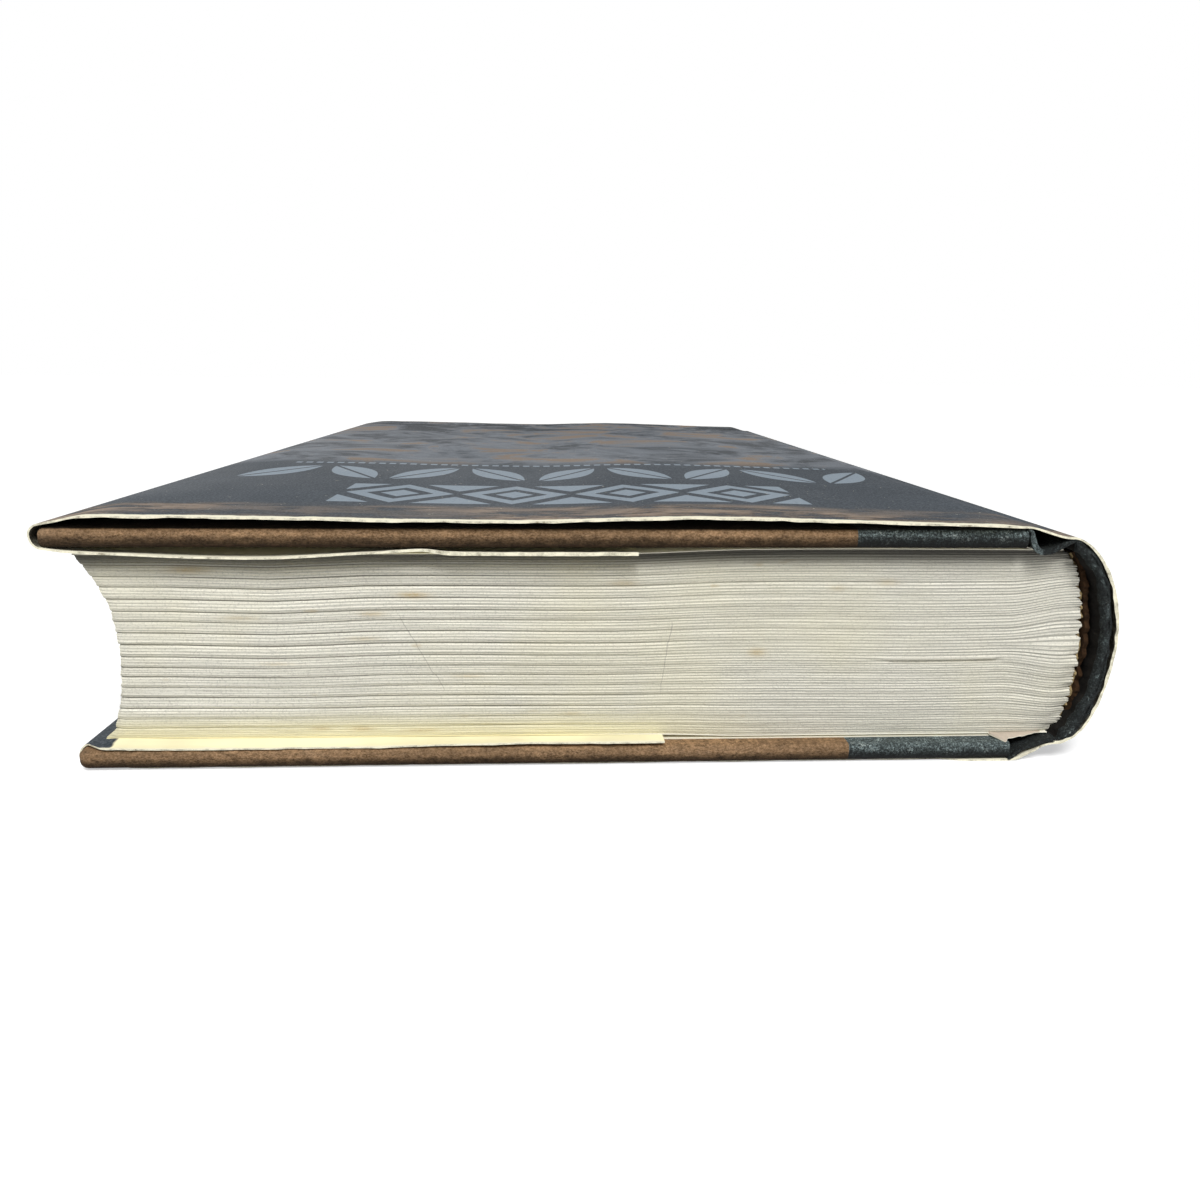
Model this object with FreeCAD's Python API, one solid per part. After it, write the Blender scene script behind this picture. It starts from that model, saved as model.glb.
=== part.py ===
"""A quarter-bound hardback book in its dust jacket, lying closed on its back cover.

Sizes are in millimetres. X runs from the fore edge to the spine, Y from the head to the tail,
and Z from the table up to the front cover. The origin is the middle of the footprint, on the table.
The sections below are drawn in X and Z, with X counted from the front board's fore edge,
and are then drawn out along Y. The book leans a little, so the back board lies nearer the spine.
"""

import FreeCAD
import Part
import math
import os

# Boards and what covers them
board_height = 241.0          # head to tail
board_width = 148.5           # fore edge to joint
board_core = 2.4              # grey board alone
cover_skin = 0.3              # covering paper or spine cloth
cloth_width = 26.8            # spine cloth on each board, in from the joint
turn_in = 15.0                # covering folded over on to the inside
outer_edge_round = 1.3        # worn edge on the outside of a board
inner_edge_round = 0.7        # edge on the inside of a board
corner_round = 1.2            # board corner seen from above
lean = 1.45                   # how far the front board sits back towards the fore edge

# Pages and endpapers
square = 3.0                  # board past the pages at head and tail
fore_square = 3.4             # board past the page corners at the fore edge
pages_thick = 30.9            # at the spine
pages_front_fall = 1.9        # how much lower the top pages lie at the fore edge
pages_back_rise = 0.6         # how much the back flap lifts the last pages
fore_hollow = 4.2             # depth of the hollow fore edge
back_round = 4.35             # how far the rounded back stands out from its shoulders
shoulder_front = 7.5          # from the front board to the shoulder of the pages
shoulder_back = 7.7           # from the back board to the shoulder of the pages
endpaper = 0.15
front_clearance = 0.55        # air between the front endpapers
back_clearance = 0.3          # air between the back endpapers

# Back lining and the hollow case spine
mull = 0.35                   # glued gauze on the back of the pages
lining = 0.45                 # brown paper over the gauze
lining_inset = 1.5            # gauze and paper stop short of the pages' head and tail
lining_from, lining_to = 0.18, 0.82        # share of the back's half turn that is lined
inlay = 0.8                   # card strip inside the spine cloth
inlay_from, inlay_to = 0.28, 0.72          # share of the half turn that the card covers
case_shoulder = 7.4           # from a board to the crest where the case spine starts
case_front_drop = 1.6         # front crest below the outside of the front board
case_back_rise = 2.95         # back crest above the outside of the back board
case_bulge = 7.75             # case spine past its two crests
case_fullness = (0.60, 0.46)  # squareness at the front and the back, 0.5 is an ellipse
groove_at, groove_depth = 2.7, 2.95        # French groove beside the front board
back_groove_at, back_groove_depth = 2.6, 1.65

# Dust jacket
jacket = 0.25
jacket_fit = 0.05             # air between jacket and board where it lies close
panel_rise = 1.05             # highest place of the front panel above where it lies close
panel_wave = ((0.11, 1.0), (0.47, 0.38), (0.66, 0.95))     # share of the width, share of the rise
fold_ease = 0.2               # air between a board's faces and the folds at its fore edge
fold_gap = 0.95               # fold past the fore edge of a board
fold_lift = 0.1               # front fold above the middle of its board
fold_tilts = (7.0, 8.5)       # degrees that flap and panel open out from the front fold
front_flap = 88.2             # from the front board's edge to the flap's end
back_flap = 91.0
flap_sag = 1.8                # lowest place of the front flap below the inside of the board
flap_wave = ((1.0, 0.67), (0.68, 0.64), (0.61, 0.39), (0.36, 1.0), (0.16, 0.72))
jacket_front_drop = 1.25      # front crest below the outside of the front board
jacket_back_rise = 2.85       # back crest above the table
jacket_bulge = 8.75
jacket_fullness = (0.62, 0.45)

# Heights that follow
cover = board_core + 2 * cover_skin
fold_radius = cover / 2 + fold_ease + jacket
table = 0.0
back_outer = table + jacket
back_inner = back_outer + cover
pages_low = back_inner + endpaper + back_clearance + endpaper
pages_high = pages_low + pages_thick
front_inner = pages_high + endpaper + front_clearance + endpaper
front_outer = front_inner + cover
page_height = board_height - 2 * square

# Places along X that follow
front_edge = 0.0
back_edge = lean
front_joint = front_edge + board_width
back_joint = back_edge + board_width
shoulders = (
    (front_joint + shoulder_front, pages_high),
    (back_joint + shoulder_back, pages_low),
)

SPINE_STEPS = 2               # steps on each stretch of a rounded spine
TINY = 0.01
RIGHT, LEFT, UP = (1.0, 0.0), (-1.0, 0.0), (0.0, 1.0)


def vector(p, y=0.0):
    return FreeCAD.Vector(p[0], y, p[1])


def between(start, end):
    return (end[0] - start[0], end[1] - start[1])


def reverse(direction):
    return (-direction[0], -direction[1])


def unit(direction):
    length = math.hypot(*direction)
    return (direction[0] / length, direction[1] / length)


def left_normal(direction):
    """The unit normal on the left of a direction in X and Z."""
    x, z = unit(direction)
    return (-z, x)


def moved(p, direction, distance):
    x, z = unit(direction)
    return (p[0] + x * distance, p[1] + z * distance)


class Bow:
    """An arc that leaves its start in a given direction. It is straight if the end lies that way."""

    def __init__(self, start, direction, end):
        chord = between(start, end)
        x, z = unit(direction)
        self.half_turn = math.atan2(x * chord[1] - z * chord[0], x * chord[0] + z * chord[1])
        sag = math.hypot(*chord) / 2 * math.tan(self.half_turn / 2)
        middle = ((start[0] + end[0]) / 2, (start[1] + end[1]) / 2)
        cos, sin = math.cos(2 * self.half_turn), math.sin(2 * self.half_turn)
        self.direction, self.end_direction = (x, z), (x * cos - z * sin, x * sin + z * cos)
        self.points = (start, moved(middle, left_normal(chord), -sag), end)
        self.normals = [left_normal(d) for d in (self.direction, chord, self.end_direction)]

    def edge(self, distance=0.0):
        """The arc itself, or the one that runs beside it, a distance to its left."""
        start, middle, end = [
            vector(moved(p, normal, distance)) for p, normal in zip(self.points, self.normals)
        ]
        if abs(self.half_turn) < 1e-5:
            return Part.LineSegment(start, end).toShape()
        return Part.Arc(start, middle, end).toShape()


def straight(start, end):
    return Bow(start, between(start, end), end)


def two_bows(start, leaving, end, arriving):
    """A smooth join of two arcs from one point and direction to another."""
    leaving, arriving = unit(leaving), unit(arriving)
    span = between(start, end)
    square = span[0] ** 2 + span[1] ** 2
    along = span[0] * (leaving[0] + arriving[0]) + span[1] * (leaving[1] + arriving[1])
    spread = 2 * (1 - leaving[0] * arriving[0] - leaving[1] * arriving[1])
    if spread < 1e-9:
        reach = square / (2 * along)
    else:
        reach = (math.sqrt(along ** 2 + spread * square) - along) / spread
    joint = tuple(
        (s + e + reach * (out - back)) / 2
        for s, e, out, back in zip(start, end, leaving, arriving)
    )
    first = Bow(start, leaving, joint)
    return [first, Bow(joint, first.end_direction, end)]


def smooth(points, leaving, arriving):
    """Tangent arcs through points. Inside the line each direction follows the neighbours."""
    inner = [between(a, b) for a, b in zip(points, points[2:])]
    directions = [leaving] + inner + [arriving]
    bows = []
    for i in range(len(points) - 1):
        bows += two_bows(points[i], directions[i], points[i + 1], directions[i + 1])
    return bows


def fold(centre, radius, low_tilt=0.0, high_tilt=0.0):
    """A jacket's fold round a fore edge, clockwise from below, with its outside on the left."""
    angles = [math.radians(a) for a in (-90.0 - low_tilt, 180.0, 90.0 + high_tilt)]
    low, middle, high = [
        (centre[0] + radius * math.cos(a), centre[1] + radius * math.sin(a)) for a in angles
    ]
    leaving = (math.sin(angles[0]), -math.cos(angles[0]))
    return [Bow(low, leaving, middle), Bow(middle, UP, high)]


class SpineLine:
    """A rounded spine between two crests, from the front round to the back."""

    def __init__(self, front, back, bulge, fullness=(0.5, 0.5)):
        self.front, self.bulge, self.fullness = front, bulge, fullness
        self.chord = between(front, back)
        self.out = left_normal(self.chord)

    def at(self, turn):
        """The point at a share of the half turn, 0 at the front crest and 1 at the back one."""
        angle = math.pi * turn
        along = (1 - math.cos(angle)) / 2
        fullness = self.fullness[0] + (self.fullness[1] - self.fullness[0]) * along
        stand = self.bulge * max(math.sin(angle), 0.0) ** (2 * fullness)
        return tuple(
            f + c * along + n * stand for f, c, n in zip(self.front, self.chord, self.out)
        )

    def direction(self, turn):
        """The line leaves and reaches its crests square to the chord."""
        if turn in (0.0, 1.0):
            return self.out if turn == 0.0 else reverse(self.out)
        return between(self.at(turn - TINY / 2), self.at(turn + TINY / 2))

    def stretch(self, start=0.0, end=1.0):
        """Tangent arcs over a share of the half turn."""
        turns = [start + (end - start) * i / SPINE_STEPS for i in range(SPINE_STEPS + 1)]
        bows = []
        for a, b in zip(turns, turns[1:]):
            bows += two_bows(self.at(a), self.direction(a), self.at(b), self.direction(b))
        return bows

    def whole(self, *cuts):
        """The whole line, with the cuts among its joints."""
        turns = (0.0,) + cuts + (1.0,)
        return [bow for a, b in zip(turns, turns[1:]) for bow in self.stretch(a, b)]


page_back = SpineLine(*shoulders, back_round)
case_line = SpineLine(
    (front_joint + case_shoulder, front_outer - case_front_drop),
    (back_joint + case_shoulder, back_outer + case_back_rise),
    case_bulge, case_fullness,
)
jacket_line = SpineLine(
    (front_joint + case_shoulder, front_outer - jacket_front_drop),
    (back_joint + case_shoulder, table + jacket_back_rise),
    jacket_bulge, jacket_fullness,
)


def face_of(edges):
    return Part.Face(Part.Wire(Part.sortEdges(edges)[0]))


def band(bows, near, far):
    """The face between two lines that run beside the arcs, near and far to their left."""
    sides = [[bow.edge(distance) for bow in bows] for distance in (near, far)]
    starts = [side[0].firstVertex().Point for side in sides]
    ends = [side[-1].lastVertex().Point for side in sides]
    caps = [Part.LineSegment(*pair).toShape() for pair in (starts, ends)]
    return face_of(sides[0] + sides[1] + caps)


def drawn_out(face, length, centre=0.0):
    """A section drawn out along Y, half to each side of centre."""
    solid = face.extrude(FreeCAD.Vector(0, length, 0))
    solid.translate(FreeCAD.Vector(0, centre - length / 2, 0))
    return solid


def block(x_low, x_high, z_low, z_high, length):
    corner = FreeCAD.Vector(x_low, -length / 2, z_low)
    return Part.makeBox(x_high - x_low, length, z_high - z_low, corner)


def rim_edges(shape, z, joint):
    """The level edges of a board at one height, but not those at its joint."""
    found = []
    for edge in shape.Edges:
        box = edge.BoundBox
        level = box.ZLength < TINY and abs(box.ZMin - z) < TINY
        if level and box.XMin < joint - TINY:
            found.append(edge)
    return found


def board_block(edge, outside, inside, inset=0.0):
    """A board with worn edges and a square joint end, smaller all round by inset."""
    joint = edge + board_width
    inward = 1 if inside > outside else -1
    outside, inside = outside + inward * inset, inside - inward * inset
    low, high = sorted((outside, inside))
    shape = block(edge + inset, joint, low, high, board_height - 2 * inset)
    corners = [
        e for e in shape.Edges
        if e.BoundBox.ZLength > TINY and e.BoundBox.XMin < joint - TINY
    ]
    shape = shape.makeFillet(corner_round - inset, corners)
    shape = shape.makeFillet(outer_edge_round - inset, rim_edges(shape, outside, joint))
    return shape.makeFillet(inner_edge_round - inset, rim_edges(shape, inside, joint))


def cover_parts(edge, outside, inside):
    """The grey board, its covering paper and cloth, and the pastedown inside it."""
    joint = edge + board_width
    into_book = 1 if inside > outside else -1
    core = board_block(edge, outside, inside, cover_skin)
    whole = board_block(edge, outside, inside)

    def layer(start, shallow, deep):
        """A flat layer from x start to the joint, between two depths from the inside face."""
        low, high = sorted((inside - into_book * shallow, inside - into_book * deep))
        return block(start, joint, low, high, board_height - 2 * (start - edge))

    window = layer(edge + turn_in, 0.0, cover_skin)
    wrap = whole.cut(core).cut(window)
    cloth_zone = block(
        joint - cloth_width, joint, min(outside, inside), max(outside, inside), board_height
    )
    sheet = layer(edge + square, -endpaper, 0.0).fuse(window)
    dip = layer(edge + turn_in + endpaper, -endpaper, cover_skin - endpaper)
    return {
        "board": core,
        "cover_paper": wrap.cut(cloth_zone),
        "cover_cloth": wrap.common(cloth_zone),
        "pastedown": sheet.cut(dip),
    }


def page_lines():
    """The top and the bottom of the pages, each with its straight run at the spine end."""
    fore_high = pages_high - pages_front_fall
    fore_low = pages_low + pages_back_rise
    level = (front_edge + 0.72 * board_width, pages_high)
    top = smooth(
        [
            (front_edge + fore_square, fore_high),
            (front_edge + 0.34 * board_width, fore_high + 0.2 * pages_front_fall),
            (front_edge + 0.58 * board_width, fore_high + 0.5 * pages_front_fall),
            level,
        ],
        RIGHT, RIGHT,
    )
    rest = (back_edge + back_flap + turn_in, pages_low)
    bottom = smooth(
        [
            rest,
            (back_edge + back_flap, pages_low + 0.6 * pages_back_rise),
            (back_edge + back_flap / 2, pages_low + 0.85 * pages_back_rise),
            (back_edge + fore_square, fore_low),
        ],
        LEFT, LEFT,
    )
    return top + [straight(level, shoulders[0])], [straight(shoulders[1], rest)] + bottom


def pages():
    """Every leaf as one solid, round at the back and hollow at the fore edge."""
    over, under = page_lines()
    high, low = over[0].points[0], under[-1].points[-1]
    hollow = ((high[0] + low[0]) / 2 + fore_hollow, (high[1] + low[1]) / 2)
    edges = [bow.edge() for bow in over + page_back.whole(lining_from, lining_to) + under]
    edges.append(Part.Arc(vector(low), vector(hollow), vector(high)).toShape())
    return drawn_out(face_of(edges), page_height)


def endpapers():
    """The flyleaves on the pages and the strips that hinge them to the pastedowns."""
    over, under = page_lines()
    glued = (front_joint + shoulder_front / 2, pages_high + endpaper)
    front = two_bows((front_joint, front_inner - endpaper), RIGHT, glued, RIGHT)
    front.append(straight(glued, (shoulders[0][0], pages_high + endpaper)))
    back = straight((shoulders[1][0], pages_low - endpaper), (back_joint, back_inner + endpaper))
    return {
        "front_flyleaf": drawn_out(band(over, 0.0, endpaper), page_height),
        "back_flyleaf": drawn_out(band(under, 0.0, endpaper), page_height),
        "front_endpaper_hinge": drawn_out(band(front, 0.0, endpaper), page_height),
        "back_endpaper_hinge": drawn_out(band([back], 0.0, endpaper), page_height),
    }


def back_lining():
    """Gauze, and paper over it, glued round the back of the pages."""
    glued = page_back.stretch(lining_from, lining_to)
    length = page_height - 2 * lining_inset
    return {
        "spine_mull": drawn_out(band(glued, 0.0, mull), length),
        "spine_lining": drawn_out(band(glued, mull, mull + lining), length),
    }


def case_spine():
    """The spine cloth turned in over its card at head and tail, and the cloth of the joints."""
    carded = case_line.stretch(inlay_from, inlay_to)
    deep = cover_skin + inlay
    cloth = drawn_out(band(case_line.whole(inlay_from, inlay_to), 0.0, -cover_skin), board_height)
    folded_over = band(carded, -deep, -deep - cover_skin)
    head_cap = band(carded, -cover_skin, -deep)
    for side in (-1, 1):
        end = side * board_height / 2
        cloth = cloth.fuse(drawn_out(folded_over, turn_in, end - side * turn_in / 2))
        cloth = cloth.fuse(drawn_out(head_cap, cover_skin, end - side * cover_skin / 2))
    to_front = smooth(
        [
            (front_joint, front_outer),
            (front_joint + groove_at, front_outer - groove_depth),
            case_line.at(0.0),
        ],
        RIGHT, case_line.out,
    )
    to_back = smooth(
        [
            case_line.at(1.0),
            (back_joint + back_groove_at, back_outer + back_groove_depth),
            (back_joint, back_outer),
        ],
        reverse(case_line.out), LEFT,
    )
    return {
        "spine_cloth": cloth.removeSplitter(),
        "spine_inlay": drawn_out(head_cap, board_height - 2 * cover_skin),
        "front_joint_cloth": drawn_out(band(to_front, 0.0, -cover_skin), board_height),
        "back_joint_cloth": drawn_out(band(to_back, 0.0, -cover_skin), board_height),
    }


def jacket_front_sheet(close):
    """The front flap, the fold round the fore edge and the panel over the front board."""
    centre = (
        front_edge - fold_gap + fold_radius,
        (front_inner + front_outer) / 2 + fold_lift,
    )
    turn = fold(centre, fold_radius, *fold_tilts)
    waves = [
        (front_edge + along * front_flap, front_inner - share * flap_sag)
        for along, share in flap_wave
    ]
    lifts = [
        (front_edge + along * board_width, close + share * panel_rise)
        for along, share in panel_wave
    ]
    flap = smooth(waves + [turn[0].points[0]], LEFT, turn[0].direction)
    panel = smooth(
        [turn[1].points[-1]] + lifts + [(front_joint, close)], turn[1].end_direction, RIGHT
    )
    return flap + turn + panel


def jacket_back_sheet():
    """The back panel flat on the table, its fold and the back flap under the last page."""
    turn = fold((back_edge - fold_gap + fold_radius, table + fold_radius), fold_radius)
    close = back_inner + endpaper + jacket_fit + jacket
    rest = (back_edge + turn_in, close)
    panel = straight((back_joint, table), turn[0].points[0])
    flap = two_bows(turn[1].points[-1], RIGHT, rest, RIGHT)
    return [panel] + turn + flap + [straight(rest, (back_edge + back_flap, close))]


def dust_jacket():
    """The jacket is one folded sheet, parted here only where the covers hinge."""
    close = front_outer + jacket_fit + jacket
    sheets = {
        "jacket_front": jacket_front_sheet(close),
        "jacket_front_joint": two_bows(
            (front_joint, close), RIGHT, jacket_line.at(0.0), jacket_line.out
        ),
        "jacket_spine": jacket_line.whole(0.5),
        "jacket_back_joint": two_bows(
            jacket_line.at(1.0), reverse(jacket_line.out), (back_joint, table), LEFT
        ),
        "jacket_back": jacket_back_sheet(),
    }
    return {
        name: drawn_out(band(bows, 0.0, -jacket), board_height)
        for name, bows in sheets.items()
    }


def book():
    """Every piece by name, with the origin in the middle of the footprint."""
    parts = {"text_block": pages()}
    for group in (endpapers(), back_lining(), case_spine(), dust_jacket()):
        parts.update(group)
    covers = (
        ("front", front_edge, front_outer, front_inner),
        ("back", back_edge, back_outer, back_inner),
    )
    for side, edge, outside, inside in covers:
        for name, shape in cover_parts(edge, outside, inside).items():
            parts[side + "_" + name] = shape
    solids = {name: shape.Solids[0] for name, shape in parts.items()}
    spine_x = max(jacket_line.at(step / 100)[0] for step in range(101))
    middle = (front_edge - fold_gap + spine_x) / 2
    for solid in solids.values():
        solid.translate(FreeCAD.Vector(-middle, 0, 0))
    return solids


os.makedirs("parts", exist_ok=True)
for name, solid in book().items():
    solid.exportStep(os.path.join("parts", name + ".step"))
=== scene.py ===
"""A worn quarter-bound hardback in its dust jacket, dressed round its CAD frame.

The file is laid out as a Blender add-on and is run as a script. Lengths are in millimetres
until a mesh is made, and Blender's own units are metres.
"""

import math

import bpy
import numpy as np
from bpy.props import FloatProperty, FloatVectorProperty, IntProperty, PointerProperty
from mathutils import Matrix, Vector


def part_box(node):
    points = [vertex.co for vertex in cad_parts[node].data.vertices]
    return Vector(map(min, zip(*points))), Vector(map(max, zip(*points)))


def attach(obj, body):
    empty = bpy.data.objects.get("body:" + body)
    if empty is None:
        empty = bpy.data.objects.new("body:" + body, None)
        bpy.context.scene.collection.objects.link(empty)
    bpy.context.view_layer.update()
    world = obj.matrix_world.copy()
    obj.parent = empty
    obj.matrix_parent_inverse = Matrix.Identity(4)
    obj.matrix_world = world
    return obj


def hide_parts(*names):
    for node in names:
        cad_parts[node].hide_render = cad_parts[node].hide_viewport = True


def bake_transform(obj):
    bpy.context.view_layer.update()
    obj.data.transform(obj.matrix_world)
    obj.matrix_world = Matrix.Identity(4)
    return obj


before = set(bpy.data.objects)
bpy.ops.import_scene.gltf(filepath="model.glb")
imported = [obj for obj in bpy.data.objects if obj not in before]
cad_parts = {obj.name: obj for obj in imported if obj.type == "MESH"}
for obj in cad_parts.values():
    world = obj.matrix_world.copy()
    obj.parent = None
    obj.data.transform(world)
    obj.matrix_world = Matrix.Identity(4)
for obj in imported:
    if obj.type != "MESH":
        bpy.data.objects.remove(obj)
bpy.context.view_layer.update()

bl_info = {
    "name": "Quarter-bound Hardback",
    "version": (1, 0, 0),
    "blender": (4, 5, 0),
    "location": "View3D > Sidebar > Hardback",
    "description": "Pages, case cloth, dust jacket and stage of a worn hardback book",
    "category": "Object",
}

MM = 0.001
WHITE = (1.0, 1.0, 1.0, 1.0)
# Foxed spots on the head of the pages: X, Z, how wide, how tall and how strong
FOXED_SPOTS = (
    (-28.6, 27.6, 2.2, 0.5, 0.75), (-35.0, 24.6, 2.0, 0.4, 0.5), (-36.5, 20.6, 2.4, 0.3, 0.4),
    (25.6, 18.0, 1.3, 0.7, 0.6), (-62.0, 31.6, 3.2, 0.5, 0.65), (4.0, 29.4, 2.2, 0.5, 0.4),
    (-37.5, 5.6, 2.0, 0.4, 0.6), (-44.0, 5.7, 1.6, 0.35, 0.5), (-28.0, 5.2, 2.6, 0.3, 0.5),
    (-55.0, 24.0, 3.0, 0.3, 0.35), (-20.5, 14.3, 2.2, 0.25, 0.4), (-4.0, 7.8, 1.6, 0.3, 0.35),
    (46.0, 29.5, 1.6, 0.6, 0.35), (38.0, 28.6, 1.2, 0.5, 0.3), (-50.0, 16.5, 2.5, 0.25, 0.35),
)


# Places, read from the CAD nodes

def span(node, axis):
    """The lowest and highest place of a CAD node along an axis, in millimetres."""
    low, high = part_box(node)
    return low[axis] / MM, high[axis] / MM


FRONT_EDGE = span("front_cover_paper", 0)[0]
FRONT_JOINT = span("front_board", 0)[1]
FRONT_INNER, FRONT_OUTER = span("front_cover_paper", 2)
BACK_EDGE = span("back_cover_paper", 0)[0]
BACK_JOINT = span("back_board", 0)[1]
BACK_OUTER, BACK_INNER = span("back_cover_paper", 2)
HEAD, TAIL = span("front_cover_paper", 1)
PAGE_HEAD, PAGE_TAIL = span("text_block", 1)
PAGES_LOW, PAGES_HIGH = span("text_block", 2)
JACKET_TOP = span("jacket_front_joint", 2)[1]
BOARD_WIDTH = FRONT_JOINT - FRONT_EDGE
RIGHT, LEFT = (1.0, 0.0), (-1.0, 0.0)
# Where the rounded backs of the case and of the pages end, beside each board
FRONT_CREST, BACK_CREST = FRONT_JOINT + 7.4, BACK_JOINT + 7.4
FRONT_GLUED, BACK_GLUED = FRONT_JOINT + 7.5, BACK_JOINT + 7.7
# Where the joints' bends meet the spine, and how high they lie
FRONT_BEND_END, BACK_BEND_END = FRONT_JOINT + 7.2, BACK_JOINT + 7.25
FRONT_BEND_HEIGHT, BACK_BEND_HEIGHT = 35.2, 3.2


# Lines and noise

def unit(way):
    way = np.asarray(way, float)
    return way / np.linalg.norm(way)


def left_of(way):
    """The unit normal on the left of a direction in X and Z."""
    x, z = unit(way)
    return np.array([-z, x])


def curve(points, leaving, arriving, step=0.7):
    """A smooth line in X and Z through points, from one direction to another."""
    points = np.array(points, float)
    ways = [unit(leaving)] + [unit(w) for w in points[2:] - points[:-2]] + [unit(arriving)]
    parts = []
    for a, b, p, q in zip(points, points[1:], ways, ways[1:]):
        chord = np.linalg.norm(b - a)
        turn = math.acos(min(1.0, max(-1.0, float(p @ q))))
        reach = chord if turn < 1e-3 else chord * 2 * math.tan(turn / 4) / math.sin(turn / 2)
        count = max(2, math.ceil(chord / step), math.ceil(turn / 0.15))
        t = np.linspace(0, 1, count, endpoint=False)[:, None]
        parts.append(
            (2 * t ** 3 - 3 * t ** 2 + 1) * a + (t ** 3 - 2 * t ** 2 + t) * reach * p
            + (3 * t ** 2 - 2 * t ** 3) * b + (t ** 3 - t ** 2) * reach * q
        )
    return np.vstack(parts + [points[-1:]])


def joined(*lines):
    """Lines end to end, without the points that they share."""
    return np.vstack([lines[0]] + [line[1:] for line in lines[1:]])


def lengths(line):
    """How far along the line each of its points is."""
    steps = np.linalg.norm(np.diff(line, axis=0), axis=1)
    return np.concatenate([[0.0], np.cumsum(steps)])


def outward(line):
    """The unit normals on the left of a line in X and Z, one for each of its points."""
    ways = np.gradient(line, axis=0)
    ways /= np.linalg.norm(ways, axis=1)[:, None]
    return np.stack([-ways[:, 1], ways[:, 0]], axis=1)


class RoundBack:
    """A rounded back between two crests, from the front round to the back."""

    def __init__(self, front, back, bulge, fullness=(0.5, 0.5)):
        self.front, self.back = np.array(front, float), np.array(back, float)
        self.bulge, self.fullness = bulge, fullness
        self.out = left_of(self.back - self.front)

    def at(self, turn):
        angle = math.pi * np.asarray(turn, float)[..., None]
        along = (1 - np.cos(angle)) / 2
        full = self.fullness[0] + (self.fullness[1] - self.fullness[0]) * along
        stand = self.bulge * np.maximum(np.sin(angle), 0.0) ** (2 * full)
        return self.front + (self.back - self.front) * along + self.out * stand

    def line(self, start=0.0, end=1.0, count=90):
        return self.at(np.linspace(start, end, count))


def ease(t):
    t = np.clip(t, 0.0, 1.0)
    return t * t * (3 - 2 * t)


def fade(distance, reach):
    """1 at an edge, and 0 at a reach from it."""
    return ease(1 - np.abs(distance) / reach)


def bump_at(x, centre, width):
    """A soft bump of height 1 about a centre."""
    return np.exp(-((np.asarray(x) - centre) / width) ** 2)


def ripple(x, period, seed):
    """Smooth noise from -1 to 1 along a line, with features about a period long."""
    table = np.random.RandomState(seed).uniform(-1, 1, 997)
    x = np.asarray(x, float) / period
    base = np.floor(x).astype(int)
    t = ease(x - base)
    return table[base % 997] * (1 - t) + table[(base + 1) % 997] * t


def crumple(x, y, period, seed):
    """Smooth noise from -1 to 1 over a surface."""
    table = np.random.RandomState(seed).uniform(-1, 1, (101, 103))
    x, y = np.broadcast_arrays(np.asarray(x, float) / period, np.asarray(y, float) / period)
    bx, by = np.floor(x).astype(int), np.floor(y).astype(int)
    tx, ty = ease(x - bx), ease(y - by)

    def corner(i, j):
        return table[(bx + i) % 101, (by + j) % 103]

    low = corner(0, 0) * (1 - tx) + corner(1, 0) * tx
    high = corner(0, 1) * (1 - tx) + corner(1, 1) * tx
    return low * (1 - ty) + high * ty


def rows(low, high, across=18):
    """Places along Y, closer together near the head and the tail."""
    near = np.array([0, 0.2, 0.45, 0.8, 1.3, 2.0, 3.0, 4.4, 6.4, 9.0, 13.0, 18.0])
    return np.concatenate(
        [low + near, np.linspace(low + 25, high - 25, across), (high - near)[::-1]]
    )


# Meshes

def quads(grid):
    """Faces between neighbours of a grid of vertex numbers."""
    a, b, c, d = grid[:-1, :-1], grid[1:, :-1], grid[1:, 1:], grid[:-1, 1:]
    return np.stack([a, b, c, d], axis=-1).reshape(-1, 4)


def rim_faces(a, b):
    """Faces round the rim between two grids of vertex numbers."""
    strips = ((b[:, 0], a[:, 0]), (a[:, -1], b[:, -1]), (a[0], b[0]), (b[-1], a[-1]))
    return [quads(np.stack(strip, axis=1)) for strip in strips]


def make_piece(name, points, groups, finishes, sharp=38.0, **extras):
    """A mesh piece. groups are lists of faces, one for each finish, and points are in mm.

    extras are further values of the points, which finishes read by name.
    """
    faces, kinds = [], []
    for kind, group in enumerate(groups):
        faces += [list(map(int, face)) for face in group]
        kinds += [kind] * len(group)
    mesh = bpy.data.meshes.new(name)
    mesh.from_pydata((points * MM).tolist(), [], faces)
    for finish in finishes:
        mesh.materials.append(finish)
    mesh.polygons.foreach_set("material_index", kinds)
    mesh.polygons.foreach_set("use_smooth", [True] * len(faces))
    mesh.set_sharp_from_angle(angle=math.radians(sharp))
    rest = mesh.attributes.new("rest", "FLOAT_VECTOR", "POINT")
    rest.data.foreach_set("vector", np.asarray(points, np.float32).ravel())
    for label, values in extras.items():
        extra = mesh.attributes.new(label, "FLOAT", "POINT")
        extra.data.foreach_set("value", np.asarray(values, np.float32).ravel())
    mesh.validate()
    mesh.update()
    made = bpy.data.objects.new(name, mesh)
    bpy.context.scene.collection.objects.link(made)
    return made


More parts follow.
